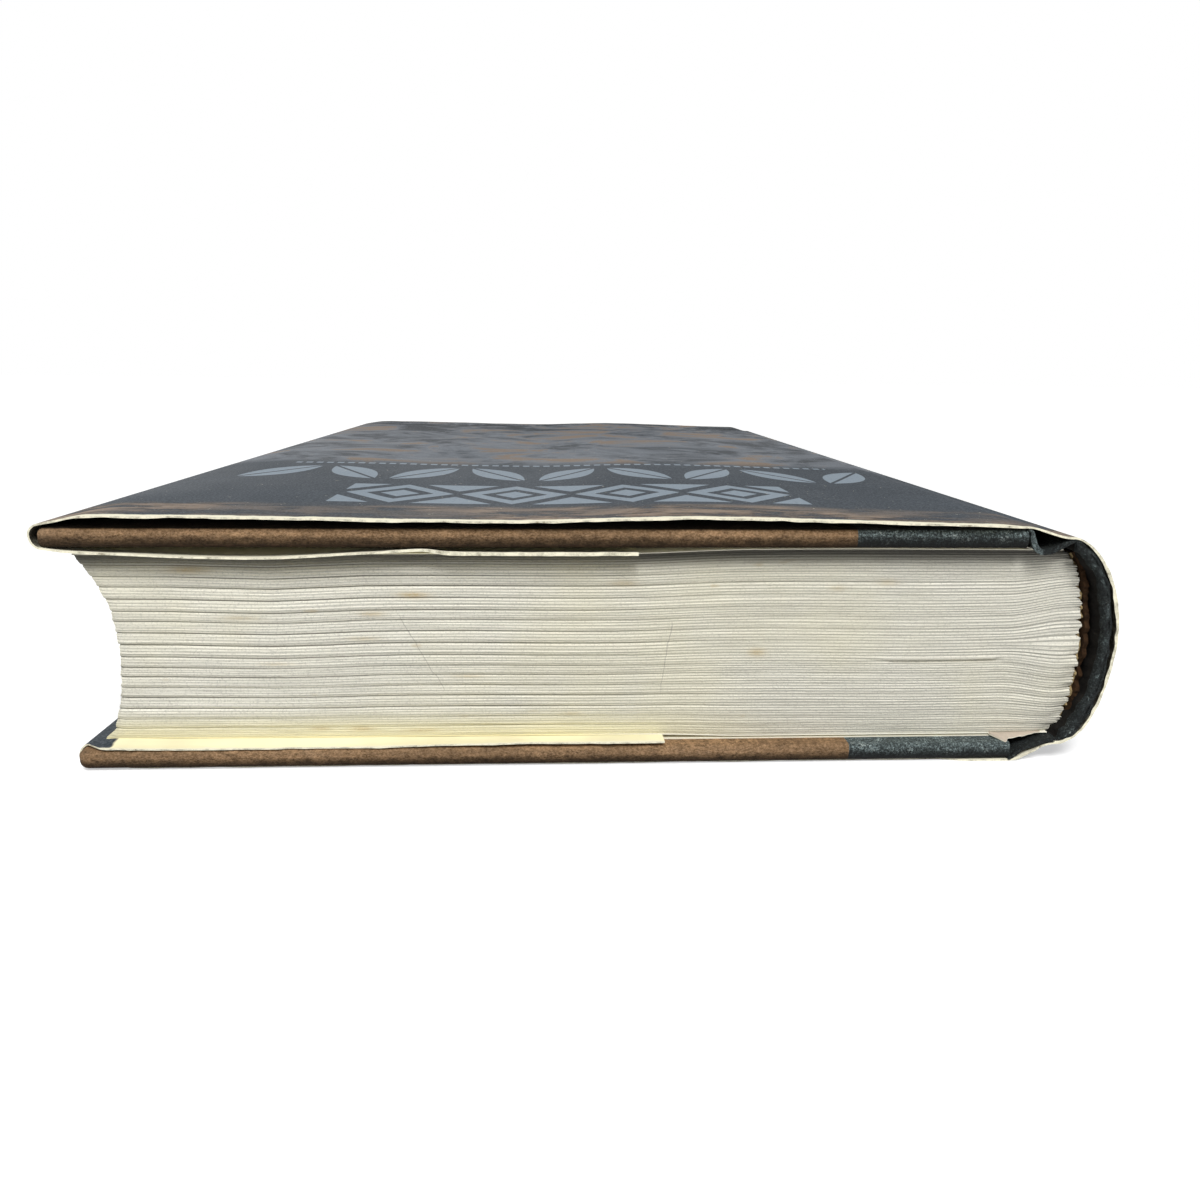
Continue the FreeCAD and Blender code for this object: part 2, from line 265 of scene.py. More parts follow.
def sheet(name, line, y, thickness, finishes, shape):
    """A sheet drawn along Y. line is its outer side in X and Z, with the outside on its left.

    shape(x, along, y) gives how far it lifts off the line, how far it slides along Y
    and how many times its own thickness it has, each over the whole sheet.
    """
    out = outward(line)
    along, across = lengths(line)[:, None], np.asarray(y)[None, :]
    flat = np.zeros((len(line), len(y)))
    lift, slide, times = [part + flat for part in shape(line[:, :1], along, across)]
    sides = []
    for depth in (lift, lift - thickness * times):
        sides.append(np.stack([
            line[:, :1] + out[:, :1] * depth, across + slide, line[:, 1:] + out[:, 1:] * depth,
        ], axis=-1))
    points = np.stack(sides).reshape(-1, 3)
    number = np.arange(len(points)).reshape(2, len(line), len(y))
    outer, inner = number
    groups = [quads(outer), quads(inner)[:, ::-1], np.vstack(rim_faces(outer, inner))]
    return make_piece(name, points, groups, finishes)


def slab(name, top, under, finishes, deep=0, sharp=38.0, **extras):
    """A closed piece between two grids of points of the same shape.

    The second finish goes on its rim, or on the last columns where deep says how many.
    """
    a, b = number = np.arange(2 * top.shape[0] * top.shape[1]).reshape(2, *top.shape[:2])
    split = number.shape[2] - deep - (deep > 0)
    groups = [[quads(a[:, :split + 1]), quads(b[:, :split + 1])[:, ::-1]], []]
    groups[0 if deep else 1] += rim_faces(a, b)
    if deep:
        groups[1] += [quads(a[:, split:]), quads(b[:, split:])[:, ::-1]]
    points = np.concatenate([top.reshape(-1, 3), under.reshape(-1, 3)])
    return make_piece(
        name, points, [np.vstack(group) for group in groups], finishes, sharp=sharp, **extras
    )


def settle(made, nodes=(), body=None, bend=None):
    """Hides the CAD nodes a piece stands for, hangs it on the body it rides on, and bakes its
    place into its mesh where a bend is given.
    """
    if nodes:
        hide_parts(*nodes)
    if body:
        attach(made, body)
    if bend:
        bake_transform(made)
    return made


def front_bend(ahead):
    """The front joint's two bodies, where its bend starts and where it ends that far from the
    board, and its height, so that its layers would nest.
    """
    start, end = FRONT_BEND_END, FRONT_JOINT + ahead
    return "book_block", "front_cover", start, end, FRONT_BEND_HEIGHT


def back_bend(ahead):
    """The back joint's two bodies, where its bend starts and ends, and its height. The order of
    the bodies would make a half turn go underneath.
    """
    start, end = BACK_JOINT + ahead, BACK_BEND_END
    return "back_cover", "book_block", start, end, BACK_BEND_HEIGHT


# Finishes

def linear(colour, share=1.0):
    """A colour as it looks, made linear for a shader, and darker or lighter by a share."""
    values = [
        c / 12.92 if c <= 0.04045 else ((c + 0.055) / 1.055) ** 2.4 for c in tuple(colour)[:3]
    ]
    return tuple(min(1.0, v * share) for v in values) + (1.0,)


def feed(tree, socket, value):
    """Links an output to a socket, or sets the socket to a constant."""
    if isinstance(value, Value):
        value = value.socket
    if isinstance(value, bpy.types.NodeSocket):
        tree.links.new(value, socket)
    else:
        socket.default_value = value


def add_node(tree, kind, inputs=None, **settings):
    """Adds a shader node. inputs says what goes into its sockets, by index or name."""
    made = tree.nodes.new("ShaderNode" + kind)
    for key, value in settings.items():
        setattr(made, key, value)
    for key, value in (inputs or {}).items():
        feed(tree, made.inputs[key], value)
    return made


def work(tree, operation, a, b=0.0):
    """The output of a Math node."""
    return Value(tree, add_node(tree, "Math", {0: a, 1: b}, operation=operation).outputs[0])


def arithmetic(operation, swapped=False):
    """A method of Value that adds a Math node to it and another, in this order or swapped."""
    def method(self, other=0.0):
        a, b = (other, self) if swapped else (self, other)
        return work(self.tree, operation, a, b)

    return method


class Value:
    """A node's output. Arithmetic with it adds a Math node for each step."""

    def __init__(self, tree, socket):
        self.tree, self.socket = tree, socket

    __add__, __radd__ = arithmetic("ADD"), arithmetic("ADD", True)
    __sub__, __rsub__ = arithmetic("SUBTRACT"), arithmetic("SUBTRACT", True)
    __mul__, __rmul__ = arithmetic("MULTIPLY"), arithmetic("MULTIPLY", True)
    __truediv__, __pow__ = arithmetic("DIVIDE"), arithmetic("POWER")
    __abs__ = arithmetic("ABSOLUTE")


class Finish:
    """A material being made, with its colour so far. Most methods give back a new output."""

    def __init__(self, name, on_cad=False):
        self.material = bpy.data.materials.new(name)
        self.material.use_nodes = True
        self.tree = self.material.node_tree
        self.surface = self.tree.nodes["Principled BSDF"]
        self.colour = None
        if on_cad:
            self.place = self.scaled(self.out("Object", "TexCoord"), 1 / MM)
        else:
            self.place = self.out("Vector", "Attribute", attribute_name="rest")
        parts = add_node(self.tree, "SeparateXYZ", {0: self.place}).outputs
        self.x, self.y, self.z = (Value(self.tree, part) for part in parts)

    def out(self, output, kind, inputs=None, **settings):
        """Adds a node and gives back one of its outputs."""
        return Value(self.tree, add_node(self.tree, kind, inputs, **settings).outputs[output])

    def work(self, operation, a, b=0.0):
        return work(self.tree, operation, a, b)

    def number(self, name):
        return self.out("Fac", "Attribute", attribute_name=name)

    def rise(self, value, low, high, start=0.0, end=1.0):
        """From start at low to end at high, easing in and out."""
        return self.out(
            0, "MapRange", {0: value, 1: low, 2: high, 3: start, 4: end},
            interpolation_type="SMOOTHSTEP",
        )

    def vector(self, x, y, z=0.0):
        return self.out(0, "CombineXYZ", {0: x, 1: y, 2: z})

    def stretched(self, x, y, z):
        """The place in millimetres, with each axis scaled."""
        return self.vector(self.x * x, self.y * y, self.z * z)

    def noise(self, scale, place=None, detail=3.0, rough=0.55, distortion=0.0):
        return self.out(0, "TexNoise", {
            "Vector": place or self.place, "Scale": scale, "Detail": detail,
            "Roughness": rough, "Distortion": distortion,
        })

    def scaled(self, colour, factor):
        return self.out(0, "VectorMath", {0: colour, "Scale": factor}, operation="SCALE")

    def painted_edge_light(self, noise, *stops):
        """Painted shade low on a board's edge and painted light higher up. Stops are a height and
        a factor.
        """
        at_front = self.rise(self.z, 18.0, 22.0)
        foot = at_front * (FRONT_INNER - BACK_OUTER) + BACK_OUTER
        level = (self.z - foot) / (FRONT_OUTER - FRONT_INNER) + (noise - 0.5) * 0.35
        # A ramp holds no colour above 1, so its factors are made smaller and scaled back
        most = 5.0
        greys = [(place, (factor / most,) * 3 + (1.0,)) for place, factor in stops]
        # The painted shade and light, as factors scaled back up
        worn = self.ramp(level, greys) * most
        # Painted shadow of the jacket over the front board's top
        return worn * self.rise(self.z, FRONT_OUTER - 0.42, FRONT_OUTER - 0.12, 1.0, 0.03)

    def ramp(self, value, stops):
        """A colour ramp. Each stop is a place and a linear colour."""
        made = add_node(self.tree, "ValToRGB", {0: value})
        elements = made.color_ramp.elements
        while len(elements) < len(stops):
            elements.new(0.5)
        for element, (place, colour) in zip(elements, stops):
            element.position, element.color = place, colour
        return Value(self.tree, made.outputs[0])

    def shades(self, value, colour, *stops):
        """A ramp of a colour's shades. A stop is a place, a share and its own colour, if any."""
        return self.ramp(value, [
            (place, linear(own[0] if own else colour, share)) for place, share, *own in stops
        ])

    def tint(self, share, tone, strength=1.0):
        """Lays a share of a tone over the colour so far."""
        over = tone if isinstance(tone, Value) else linear(tone, strength)
        self.colour = self.out(2, "Mix", {0: share, 6: self.colour, 7: over}, data_type="RGBA")

    def finish(self, roughness, height, depth, strength, specular):
        """Feeds the surface. depth is the relief's height in millimetres."""
        relief = {"Height": height, "Distance": depth * MM, "Strength": strength}
        for name, value in (
            ("Base Color", self.colour), ("Roughness", roughness),
            ("Specular IOR Level", specular), ("Normal", self.out(0, "Bump", relief)),
        ):
            feed(self.tree, self.surface.inputs[name], value)
        return self.material


def page_finish(colours):
    """Edges of the leaves: fine lines along each leaf, darker between signatures."""
    f = Finish("page edges")
    level = f.number("pages")
    within = f.work("FRACT", level)
    lengthwise = (f.x + f.y) * 0.01
    slow = f.noise(1.0, f.vector(lengthwise, level * 0.7), 2.0, 0.6)
    broad = f.noise(1.0, f.vector(lengthwise * 0.5, level * 2.3), 2.0, 0.6)
    lines = f.noise(1.0, f.vector(lengthwise * 0.8, level * 9.0), 3.0, 0.7)
    finest = f.noise(1.0, f.vector(lengthwise * 4.0, level * 30.0), 2.0, 0.7)
    grain = f.noise(2.6, rough=0.75)
    grey = 0.42
    at_fore = f.rise(f.x, -62.0, 40.0, 1.0, 0.16)
    # Each signature is four gatherings of leaves, which show as lines
    wander = (slow - 0.5) * 0.9
    gathers = abs(f.work("FRACT", level * 4.0 + wander) - 0.5)
    gathers = f.rise(gathers, 0.14, 0.44) * f.rise(lines, 0.34, 0.58, 0.55, 1.0)
    f.colour = f.shades(lines, colours.page, (0.30, 0.82), (0.42, 0.97), (0.52, 1.0))
    f.tint(gathers * f.rise(f.x, -75.0, 10.0, 0.42, 1.0), colours.page, grey)
    f.tint(f.rise(finest, 0.36, 0.54, 0.38, 0.0), colours.page, grey)
    f.tint(f.rise(grain, 0.36, 0.50, 0.34, 0.0), colours.page, grey)
    # A greyer lower part of each signature, and dark gaps, strongest at the fore edge
    half = f.rise(within, 0.46, 0.24) * f.rise(broad, 0.36, 0.6, 0.3, 1.0)
    f.tint(half * (at_fore * 0.34), colours.page, grey)
    gap = f.work("MINIMUM", within, 1.0 - within)
    groove = f.rise(gap, 0.0, 0.07, 1.0, 0.0) * f.rise(broad, 0.32, 0.5, 0.4, 1.0)
    f.tint(groove * (at_fore * 0.9), colours.page_shadow)
    # Yellowed first leaves by the back cover, more so at the fore edge
    yellow = f.rise(level, 3.0, 0.3) * f.rise(f.x, 40.0, -10.0, 0.06, 0.85)
    f.tint(yellow * 0.8, colours.yellowed)
    toned = f.noise(0.03, rough=0.6)
    f.tint(f.rise(toned, 0.40, 0.70, 0.0, 0.22), colours.yellowed, 0.92)
    specks = f.noise(0.35, f.stretched(0.35, 0.35, 1.0), 2.0, 0.7)
    foxed = f.work("MAXIMUM", f.rise(specks, 0.70, 0.80, 0.0, 0.35), f.number("stain"))
    foxed = foxed * f.rise(grain, 0.34, 0.56, 0.45, 1.0)
    f.tint(foxed, colours.foxing)
    # Painted shade on the tops of the leaves at the head, under the board's overhang
    dust_and_painted_shade = f.rise(level, 15.2, 16.9, 0.0, 0.84) * f.rise(f.y, -115.8, -117.2)
    f.colour = f.scaled(f.colour, 1.0 - dust_and_painted_shade)
    for x0, z0, x1, z1 in ((-30.6, 23.9, -24.6, 12.6), (11.6, 22.6, 10.4, 12.0)):
        slant = (f.z - z0) * ((x1 - x0) / (z1 - z0))
        wander = (f.noise(0.25) - 0.5) * 1.6
        off = abs(f.x - x0 - slant + wander)
        mark = f.rise(off, 0.02, 0.13, 0.36, 0.0) * f.rise(f.z, z1 - 1, z1)
        mark = mark * f.rise(f.z, z0 + 1, z0)
        f.tint(mark, colours.page_shadow)
    height = lines * 1.2 + grain * 0.7 - gathers * 0.35 + finest * 0.8
    return f.finish(0.92, height, 0.22, 0.9, specular=0.2)


def print_finish(colours):
    """The jacket's printed side: slate ground, a pale border frieze and a misty band."""
    f = Finish("printed jacket")
    cloud = f.noise(0.035, f.stretched(0.55, 1.6, 1.0), 4.0, 0.62)
    soft = f.noise(0.02)
    f.colour = f.shades(cloud, colours.slate, (0.25, 0.82), (0.5, 1.0), (0.75, 1.16))
    f.tint(f.rise(soft, 0.35, 0.7, 0.0, 0.35), colours.slate, 0.75)
    on_top = f.rise(f.z, 36.2, 37.0)

    def band(low, high, ease_in, ease_out):
        return f.rise(f.y, low - ease_in, low) * f.rise(f.y, high + ease_out, high)

    # Misty grey and brown beyond the frieze
    streaks = f.noise(0.045, f.stretched(0.9, 1.0, 1.0), 4.0, 0.70, 0.6)
    mist = f.shades(
        streaks, colours.mist, (0.38, 0.26), (0.46, 0.78), (0.53, 1.10), (0.60, 0.80, colours.tan)
    )
    misty = band(-30.0, 124.0, 14.0, 2.0) * on_top
    f.tint(misty * 0.9, mist)
    gloom = f.rise(f.y, 40.0, 112.0) * f.rise(streaks, 0.57, 0.4)
    f.tint(gloom * on_top, colours.slate, 0.28)
    # Brown strokes along the head
    strokes = f.noise(0.10, f.stretched(0.55, 1.6, 1.0), 4.0, 0.72, 0.4)
    brown = f.shades(strokes, colours.tan, (0.42, 0.12), (0.50, 0.55), (0.57, 1.15))
    coming = f.rise(strokes, 0.38, 0.5) * f.rise(f.noise(0.03), 0.38, 0.54, 0.35, 1.0)
    at_head = band(-123.0, -108.0, 2.0, 5.0) * coming
    f.tint(at_head * on_top * 0.8, brown)
    f.tint(frieze(f) * on_top, colours.marks)
    grain = f.noise(2.4, rough=0.75)
    f.tint(f.rise(grain, 0.44, 0.62, 0.0, 0.24), colours.mist, 1.25)
    f.tint(f.rise(grain, 0.46, 0.34, 0.0, 0.30), colours.slate, 0.45)
    # Pale specks of dust on the print
    dust_and_painted_shade = f.noise(0.9, detail=2.0, rough=0.8)
    f.tint(f.rise(dust_and_painted_shade, 0.71, 0.74, 0.0, 0.6), colours.paper, 0.7)
    flap_cream = f.shades(f.noise(0.06), colours.flap, (0.35, 0.86), (0.60, 1.0))
    # Print worn through at the head, the tail and the folds
    reach = f.noise(0.3, detail=4.0, rough=0.7) * 1.5
    edge = -HEAD - abs(f.y)
    worn = f.rise(edge - reach, -0.55, 0.05, 1.0, 0.0)
    flecks = f.noise(0.9, f.stretched(1.0, 0.5, 1.0), 4.0, 0.75)
    fold = f.rise(f.x, FRONT_EDGE + 0.3, FRONT_EDGE - 0.9) * f.rise(flecks, 0.5, 0.64)
    worn = f.work("MAXIMUM", worn, fold * 0.4)
    # The flaps are printed plain cream, up to a little inside their folds
    cream_end = -76.6
    past = cream_end + f.noise(0.25) * 1.6
    inside = f.rise(f.z, 3.2, 3.5) * f.rise(f.z, 36.0, 35.4)
    inside = inside * f.rise(f.x, 40.0, 30.0)
    beyond = f.rise(f.x - past, -0.2, 0.3)
    f.tint(inside * beyond, flap_cream)
    f.tint(worn, colours.paper, 0.86)
    rub = f.noise(0.016, f.stretched(1.0, 0.6, 1.0), 5.0, 0.6)
    height = grain * 0.3 + cloud
    return f.finish(f.rise(rub, 0.3, 0.7, 0.58, 0.78), height, 0.05, 0.5, specular=0.07)


def frieze(f):
    """Two plain border rows and a dotted rule, as a share from 0 to 1."""

    def between(low, high):
        return f.rise(f.x, low - 0.2, low) * f.rise(f.x, high + 0.2, high)

    # Nested lozenges with small darts between them
    start, period, low, tall = -44.8, 20.6, -101.5, 24.0
    u = f.work("FRACT", (f.x - (start - 10 * period)) / period) - 0.5
    v = (f.y - (low + tall / 2)) / tall
    au, av = abs(u), abs(v)
    reach = au * 2.1 + av * 2.0
    tilt = u * v * 1.1
    inside = reach - tilt
    ring = f.rise(reach, 0.99, 0.97) * f.rise(inside, 0.6, 0.62)
    heart = f.rise(reach, 0.36, 0.34)
    darts = f.rise(reach, 1.34, 1.36) * f.rise(av, 0.5, 0.495)
    row = f.work("MAXIMUM", f.work("MAXIMUM", ring, heart), darts)
    row = row * between(start, start + 4 * period)
    # Leaves that lean to and fro
    start, period, low, tall = -72.0, 15.2, -70.0, 24.0
    t = f.work("PINGPONG", f.x - (start - 20 * period), period) / period - 0.5
    s = (f.y - (low + tall / 2)) / tall
    along = t * 0.66 + s * 0.75
    aside = t * 0.75 - s * 0.66
    taper = 1.0 - (abs(along) * 1.62) ** 2.0
    width = taper * 0.27 - abs(aside)
    vein = f.rise(abs(aside), 0.018, 0.028)
    leaves = f.rise(width, 0.0, 0.012) * vein * between(start, start + 9 * period)
    # A dotted rule
    dot = abs(f.work("FRACT", f.x * 0.42) - 0.5)
    rule_at = -40.5
    level = abs(f.y - rule_at)
    rule = f.rise(dot, 0.34, 0.28) * f.rise(level, 1.1, 0.8)
    rule = rule * between(-66.0, 58.0)
    shown = f.work("MAXIMUM", f.work("MAXIMUM", row, leaves), rule * 1.4)
    return shown * f.rise(f.noise(1.1), 0.2, 0.45, 0.6, 0.95)


def paper_finish(colours, name, tone, on_cad=False, spineward=None):
    """Plain uncoated paper: cloudy tone, fibres and a few foxing specks.

    spineward is the tone it turns to on the spine's side of the leaf.
    """
    f = Finish(name, on_cad)
    cloud = f.noise(0.04, detail=4.0, rough=0.6)
    fibre = f.noise(2.4, f.stretched(1.0, 0.25, 1.0), 3.0, 0.6)
    f.colour = f.shades(cloud, tone, (0.3, 0.90), (0.55, 1.0), (0.8, 1.05))
    if spineward:
        f.tint(f.rise(f.x, -8.0, 14.0), spineward)
    f.tint(f.rise(fibre, 0.3, 0.7, 0.12, 0.0), colours.yellowed, 0.7)
    speck = f.noise(0.22, rough=0.7)
    f.tint(f.rise(speck, 0.68, 0.80, 0.0, 0.5), colours.foxing)
    return f.finish(0.85, fibre, 0.03, 0.6, specular=0.25)


def inside_finish(colours):
    """The jacket's plain inside, with painted shade in the front fold and darker round the spine.
    """
    f = Finish("inside of the jacket")
    cloud = f.noise(0.05, detail=4.0, rough=0.6)
    f.colour = f.shades(cloud, colours.paper, (0.35, 0.84), (0.60, 1.0))
    blotches = f.noise(0.8, detail=4.0, rough=0.7)
    # Painted shade in the front fold, and darker round the spine, in a near-black soil tone
    fold_shade = f.rise(f.x, FRONT_EDGE + 0.9, FRONT_EDGE - 0.1)
    darkened = f.work("MAXIMUM", fold_shade, f.rise(f.x, 70.0, 74.0))
    darkened = darkened * f.rise(blotches, 0.3, 0.6, 0.8, 0.97)
    f.tint(darkened, colours.soil, 0.10)
    return f.finish(0.9, cloud, 0.03, 0.5, specular=0.15)


def cut_edge_finish(colours):
    """The jacket's cut and rubbed edge: creamy, with soiled spots."""
    f = Finish("worn jacket edge")
    soil = f.noise(0.5, detail=5.0, rough=0.75)
    f.colour = f.shades(
        soil, colours.paper, (0.28, 1.0, colours.soil), (0.42, 0.62), (0.56, 0.92), (0.8, 1.0)
    )
    return f.finish(0.9, soil, 0.10, 0.7, specular=0.2)


def brown_paper_finish(colours):
    """Covering paper with a short fibrous nap, rubbed paler on its edges."""
    f = Finish("brown covering paper", on_cad=True)
    nap = f.noise(3.0, f.stretched(0.8, 0.8, 1.3), 4.0, 0.8)
    blotch = f.noise(0.7, f.stretched(0.7, 0.7, 1.5), 4.0, 0.75)
    patch = f.noise(0.10, f.stretched(0.6, 0.6, 1.0), 4.0, 0.65)
    both = nap * 0.62 + blotch * 0.38
    f.colour = f.shades(
        both, colours.brown, (0.38, 0.34), (0.475, 0.80), (0.53, 1.15), (0.64, 1.9)
    )
    f.tint(f.rise(patch, 0.32, 0.62, 0.42, 0.0), colours.brown, 0.34)
    f.tint(f.rise(patch, 0.58, 0.80, 0.0, 0.35), colours.tan, 0.75)
    # Rubbed corners and edges
    outward = abs(f.y) - (-HEAD - 1.0)
    rubbed = f.rise(outward, -0.1, 0.9) * f.rise(nap, 0.44, 0.6, 0.0, 0.5)
    corner = f.rise(f.x, FRONT_EDGE + 4.5, FRONT_EDGE + 1.0) * f.rise(outward, -2.5, 0.5)
    rubbed = f.work("MAXIMUM", rubbed, corner * f.rise(nap, 0.35, 0.6, 0.2, 0.6))
    f.tint(rubbed * 0.45, colours.tan, 0.7)
    # Painted shade low on the board's edge, painted light above, and the jacket's painted shadow
    # on top
    rub_and_painted_light = f.painted_edge_light(
        blotch, (0.0, 0.16), (0.20, 0.26), (0.36, 0.44), (0.50, 0.80), (0.66, 1.60), (0.85, 1.50)
    )
    f.colour = f.scaled(f.colour, rub_and_painted_light)
    return f.finish(0.95, both, 0.30, 0.9, specular=0.12)


def cloth_finish(colours, on_cad=False):
    """Dark bookcloth: a fine weave, with threads rubbed pale."""
    f = Finish("book cloth on the boards" if on_cad else "book cloth", on_cad)
    warp = f.noise(3.0, f.stretched(2.2, 0.5, 0.5), 2.0, 0.7)
    weft = f.noise(3.0, f.stretched(0.5, 2.2, 2.2), 2.0, 0.7)
    slub = f.noise(2.8, detail=4.0, rough=0.8)
    patch = f.noise(0.5, detail=4.0, rough=0.65)
    weave = f.work("MAXIMUM", warp, weft)
    thread = slub * 0.55 + weave * 0.45
    f.colour = f.shades(
        thread, colours.cloth, (0.44, 0.20), (0.51, 0.70), (0.57, 1.5), (0.64, 4.2)
    )
    f.tint(f.rise(patch, 0.34, 0.56, 0.45, 0.0), colours.cloth, 0.22)
    rubbed = f.rise(patch, 0.54, 0.72) * f.rise(slub, 0.48, 0.6)
    f.tint(rubbed * 0.6, colours.cloth_rubbed)
    if on_cad:
        # Painted shade low on the board's edge, painted light above, and the jacket's painted
        # shadow on top
        rub_and_painted_light = f.painted_edge_light(
            slub, (0.0, 0.05), (0.22, 0.12), (0.40, 0.38), (0.54, 1.0), (0.68, 2.8), (0.80, 3.6)
        )
    else:
        # Ridges partly rubbed, partly painted highlight; creases rubbed pale, one down the front
        # of the joint's fold
        crease = f.rise(f.y, HEAD + 0.7, HEAD + 0.2) * f.rise(f.x, 69.4, 68.8)
        crease = crease * f.rise(f.z, 30.0, 34.0)
        rub_and_painted_light = f.number("rub") * 2.6 + 0.5 + crease * 3.0
    height = weave * 0.5 + slub
    f.colour = f.scaled(f.colour, rub_and_painted_light)
    return f.finish(0.82, height, 0.30, 0.9, specular=0.22)


def fibre_finish(name, tone, on_cad=False, scale=0.6):
    """Coarse board, gauze or glued lining paper: mottled and fibrous."""
    f = Finish(name, on_cad)
    mottle = f.noise(scale, f.stretched(1.0, 0.5, 1.0), 5.0, 0.7)
    f.colour = f.shades(mottle, tone, (0.32, 0.38), (0.5, 1.0), (0.7, 1.8))
    return f.finish(0.95, mottle, 0.18, 0.9, specular=0.15)


# Sizes and colours

def colour_property(name, description, value):
    """A colour as it looks, given in parts of 255."""
    return FloatVectorProperty(
        name=name, description=description, subtype="COLOR_GAMMA", size=3, min=0.0, max=1.0,
        default=tuple(part / 255 for part in value),
    )


def size_property(name, description, value, low=0.0, high=300.0):
    return FloatProperty(
        name=name, description=description + ", in millimetres", default=value, min=low, max=high,
    )


class HARDBACK_PG_sizes(bpy.types.PropertyGroup):
    """Sizes of the pages, the case and the jacket."""

    signatures: IntProperty(
        name="Signatures", description="Folded sections that make up the pages", default=17,
        min=4, max=40,
    )
    page_relief: size_property(
        "Page relief", "How deep the gaps between signatures are", 0.42, 0.0, 1.0
    )
    jacket: size_property("Jacket", "Thickness of the jacket's paper", 0.25, 0.1, 0.6)
    fray: FloatProperty(
        name="Fray", description="How much thicker the jacket's rubbed head edge is",
        default=0.5, min=0.0, max=2.0, subtype="FACTOR",
    )
    cloth: size_property("Cloth", "Thickness of the case cloth", 0.3, 0.1, 0.8)
    head_cap: size_property(
        "Head cap", "Thickness of the cloth turned in over its card", 1.05, 0.8, 2.4
    )
    endpaper: size_property("Endpaper", "Thickness of the endpapers", 0.15, 0.05, 0.4)


class HARDBACK_PG_colours(bpy.types.PropertyGroup):
    """Colours as they look in plain light."""

    page: colour_property("Page", "Cut edges of the leaves", (254, 251, 236))
    page_shadow: colour_property("Page gap", "Gaps between signatures", (112, 106, 90))
    yellowed: colour_property("Yellowed", "Leaves yellowed by the back cover", (249, 240, 194))
    foxing: colour_property("Foxing", "Rust-coloured age spots", (192, 164, 104))
    slate: colour_property("Slate", "Ground colour of the jacket", (54, 60, 66))
    marks: colour_property("Marks", "Border rows on the jacket", (134, 146, 156))
    mist: colour_property("Mist", "Misty band on the jacket", (108, 113, 119))
    tan: colour_property("Tan", "Brown strokes on the jacket and rubbed paper", (140, 122, 104))
    paper: colour_property("Paper", "Bare paper of the jacket", (246, 241, 216))
    flap: colour_property("Flap", "Printed side of the flaps", (242, 234, 196))
    # Also used, near black, for the painted shade in the jacket's front fold
    soil: colour_property("Soil", "Dirt on the jacket's edge", (112, 100, 78))
    brown: colour_property("Brown", "Covering paper of the boards", (116, 92, 67))
    cloth: colour_property("Cloth", "Book cloth of spine and joints", (46, 52, 52))
    cloth_rubbed: colour_property("Rubbed cloth", "Threads rubbed pale", (132, 138, 134))
    endpaper: colour_property("Endpaper", "Endpapers", (244, 240, 222))
    # Painted shade: a greyer tone for the torn leaf's face, for the shade it lies in
    torn: colour_property("Torn leaf", "Greyed face of a torn leaf", (186, 172, 158))
    # Painted shade: near black for the inside of the hollow, where only shade falls
    hollow: colour_property("Hollow", "Inside of the hollow back", (22, 20, 18))
    lining: colour_property("Lining", "Glued paper on the back of the pages", (50, 34, 20))
    mull: colour_property("Gauze", "Gauze under the lining", (150, 132, 96))
    board: colour_property("Board", "Grey board and card", (120, 112, 98))


# Lines of the case and the jacket

CASE_BACK = RoundBack(
    (FRONT_CREST, FRONT_OUTER - 1.6), (BACK_CREST, BACK_OUTER + 2.95), 7.75, (0.60, 0.46)
)
JACKET_BACK = RoundBack(
    (FRONT_CREST, FRONT_OUTER - 1.25), (BACK_CREST, 2.85), 8.75, (0.62, 0.45)
)
PAGE_BACK = RoundBack((FRONT_GLUED, PAGES_HIGH), (BACK_GLUED, PAGES_LOW), 4.35)


def page_top_line(end):
    """The top of the pages, which swell up towards the flap."""
    top = curve([
        (FRONT_EDGE + 3.4, PAGES_HIGH - 1.9),
        (FRONT_EDGE + 0.34 * BOARD_WIDTH, PAGES_HIGH - 1.52),
        (FRONT_EDGE + 0.58 * BOARD_WIDTH, PAGES_HIGH - 0.95),
        (FRONT_EDGE + 0.72 * BOARD_WIDTH, PAGES_HIGH), (end, PAGES_HIGH),
    ], RIGHT, RIGHT)
    swell_at = (-79.0, -65.0, -50.0, -36.0, -20.0, 2.0, 24.0)
    top[:, 1] += np.interp(top[:, 0], swell_at, (1.05, 0.98, 0.46, 0.85, 0.68, 0.30, 0.0))
    return top


def fold_line(centre, radius, low_tilt=0.0, high_tilt=0.0):
    """The jacket's fold round a fore edge, from below, with its outside on the left."""
    angles = np.radians(np.linspace(-90 - low_tilt, -270 + high_tilt, 26))
    return np.stack(
        [centre[0] + radius * np.cos(angles), centre[1] + radius * np.sin(angles)], axis=1
    )


def jacket_front_line(jacket):
    """Flap, fold, panel and joint, then round the spine to its back crest."""
    radius = (FRONT_OUTER - FRONT_INNER) / 2 + 0.2 + jacket
    centre = (FRONT_EDGE - 1.05 + radius, (FRONT_INNER + FRONT_OUTER) / 2 + 0.1)
    fold = fold_line(centre, radius, 7.0, 8.5)
    waves = ((1.0, 0.67), (0.68, 0.64), (0.61, 0.39), (0.36, 1.0), (0.16, 0.72))
    flap = curve(
        [(FRONT_EDGE + a * 88.2, FRONT_INNER - b * 1.8) for a, b in waves] + [fold[0]],
        LEFT, fold[1] - fold[0],
    )
    lifts = ((0.11, 1.0), (0.47, 0.38), (0.66, 0.95))
    panel = curve(
        [fold[-1]] + [(FRONT_EDGE + a * BOARD_WIDTH, JACKET_TOP + b * 1.05) for a, b in lifts]
        + [(FRONT_JOINT, JACKET_TOP)],
        fold[-1] - fold[-2], RIGHT,
    )
    joint = curve([(FRONT_JOINT, JACKET_TOP), JACKET_BACK.at(0.0)], RIGHT, JACKET_BACK.out, 0.4)
    return flap, joined(flap, fold, panel, joint, JACKET_BACK.line())


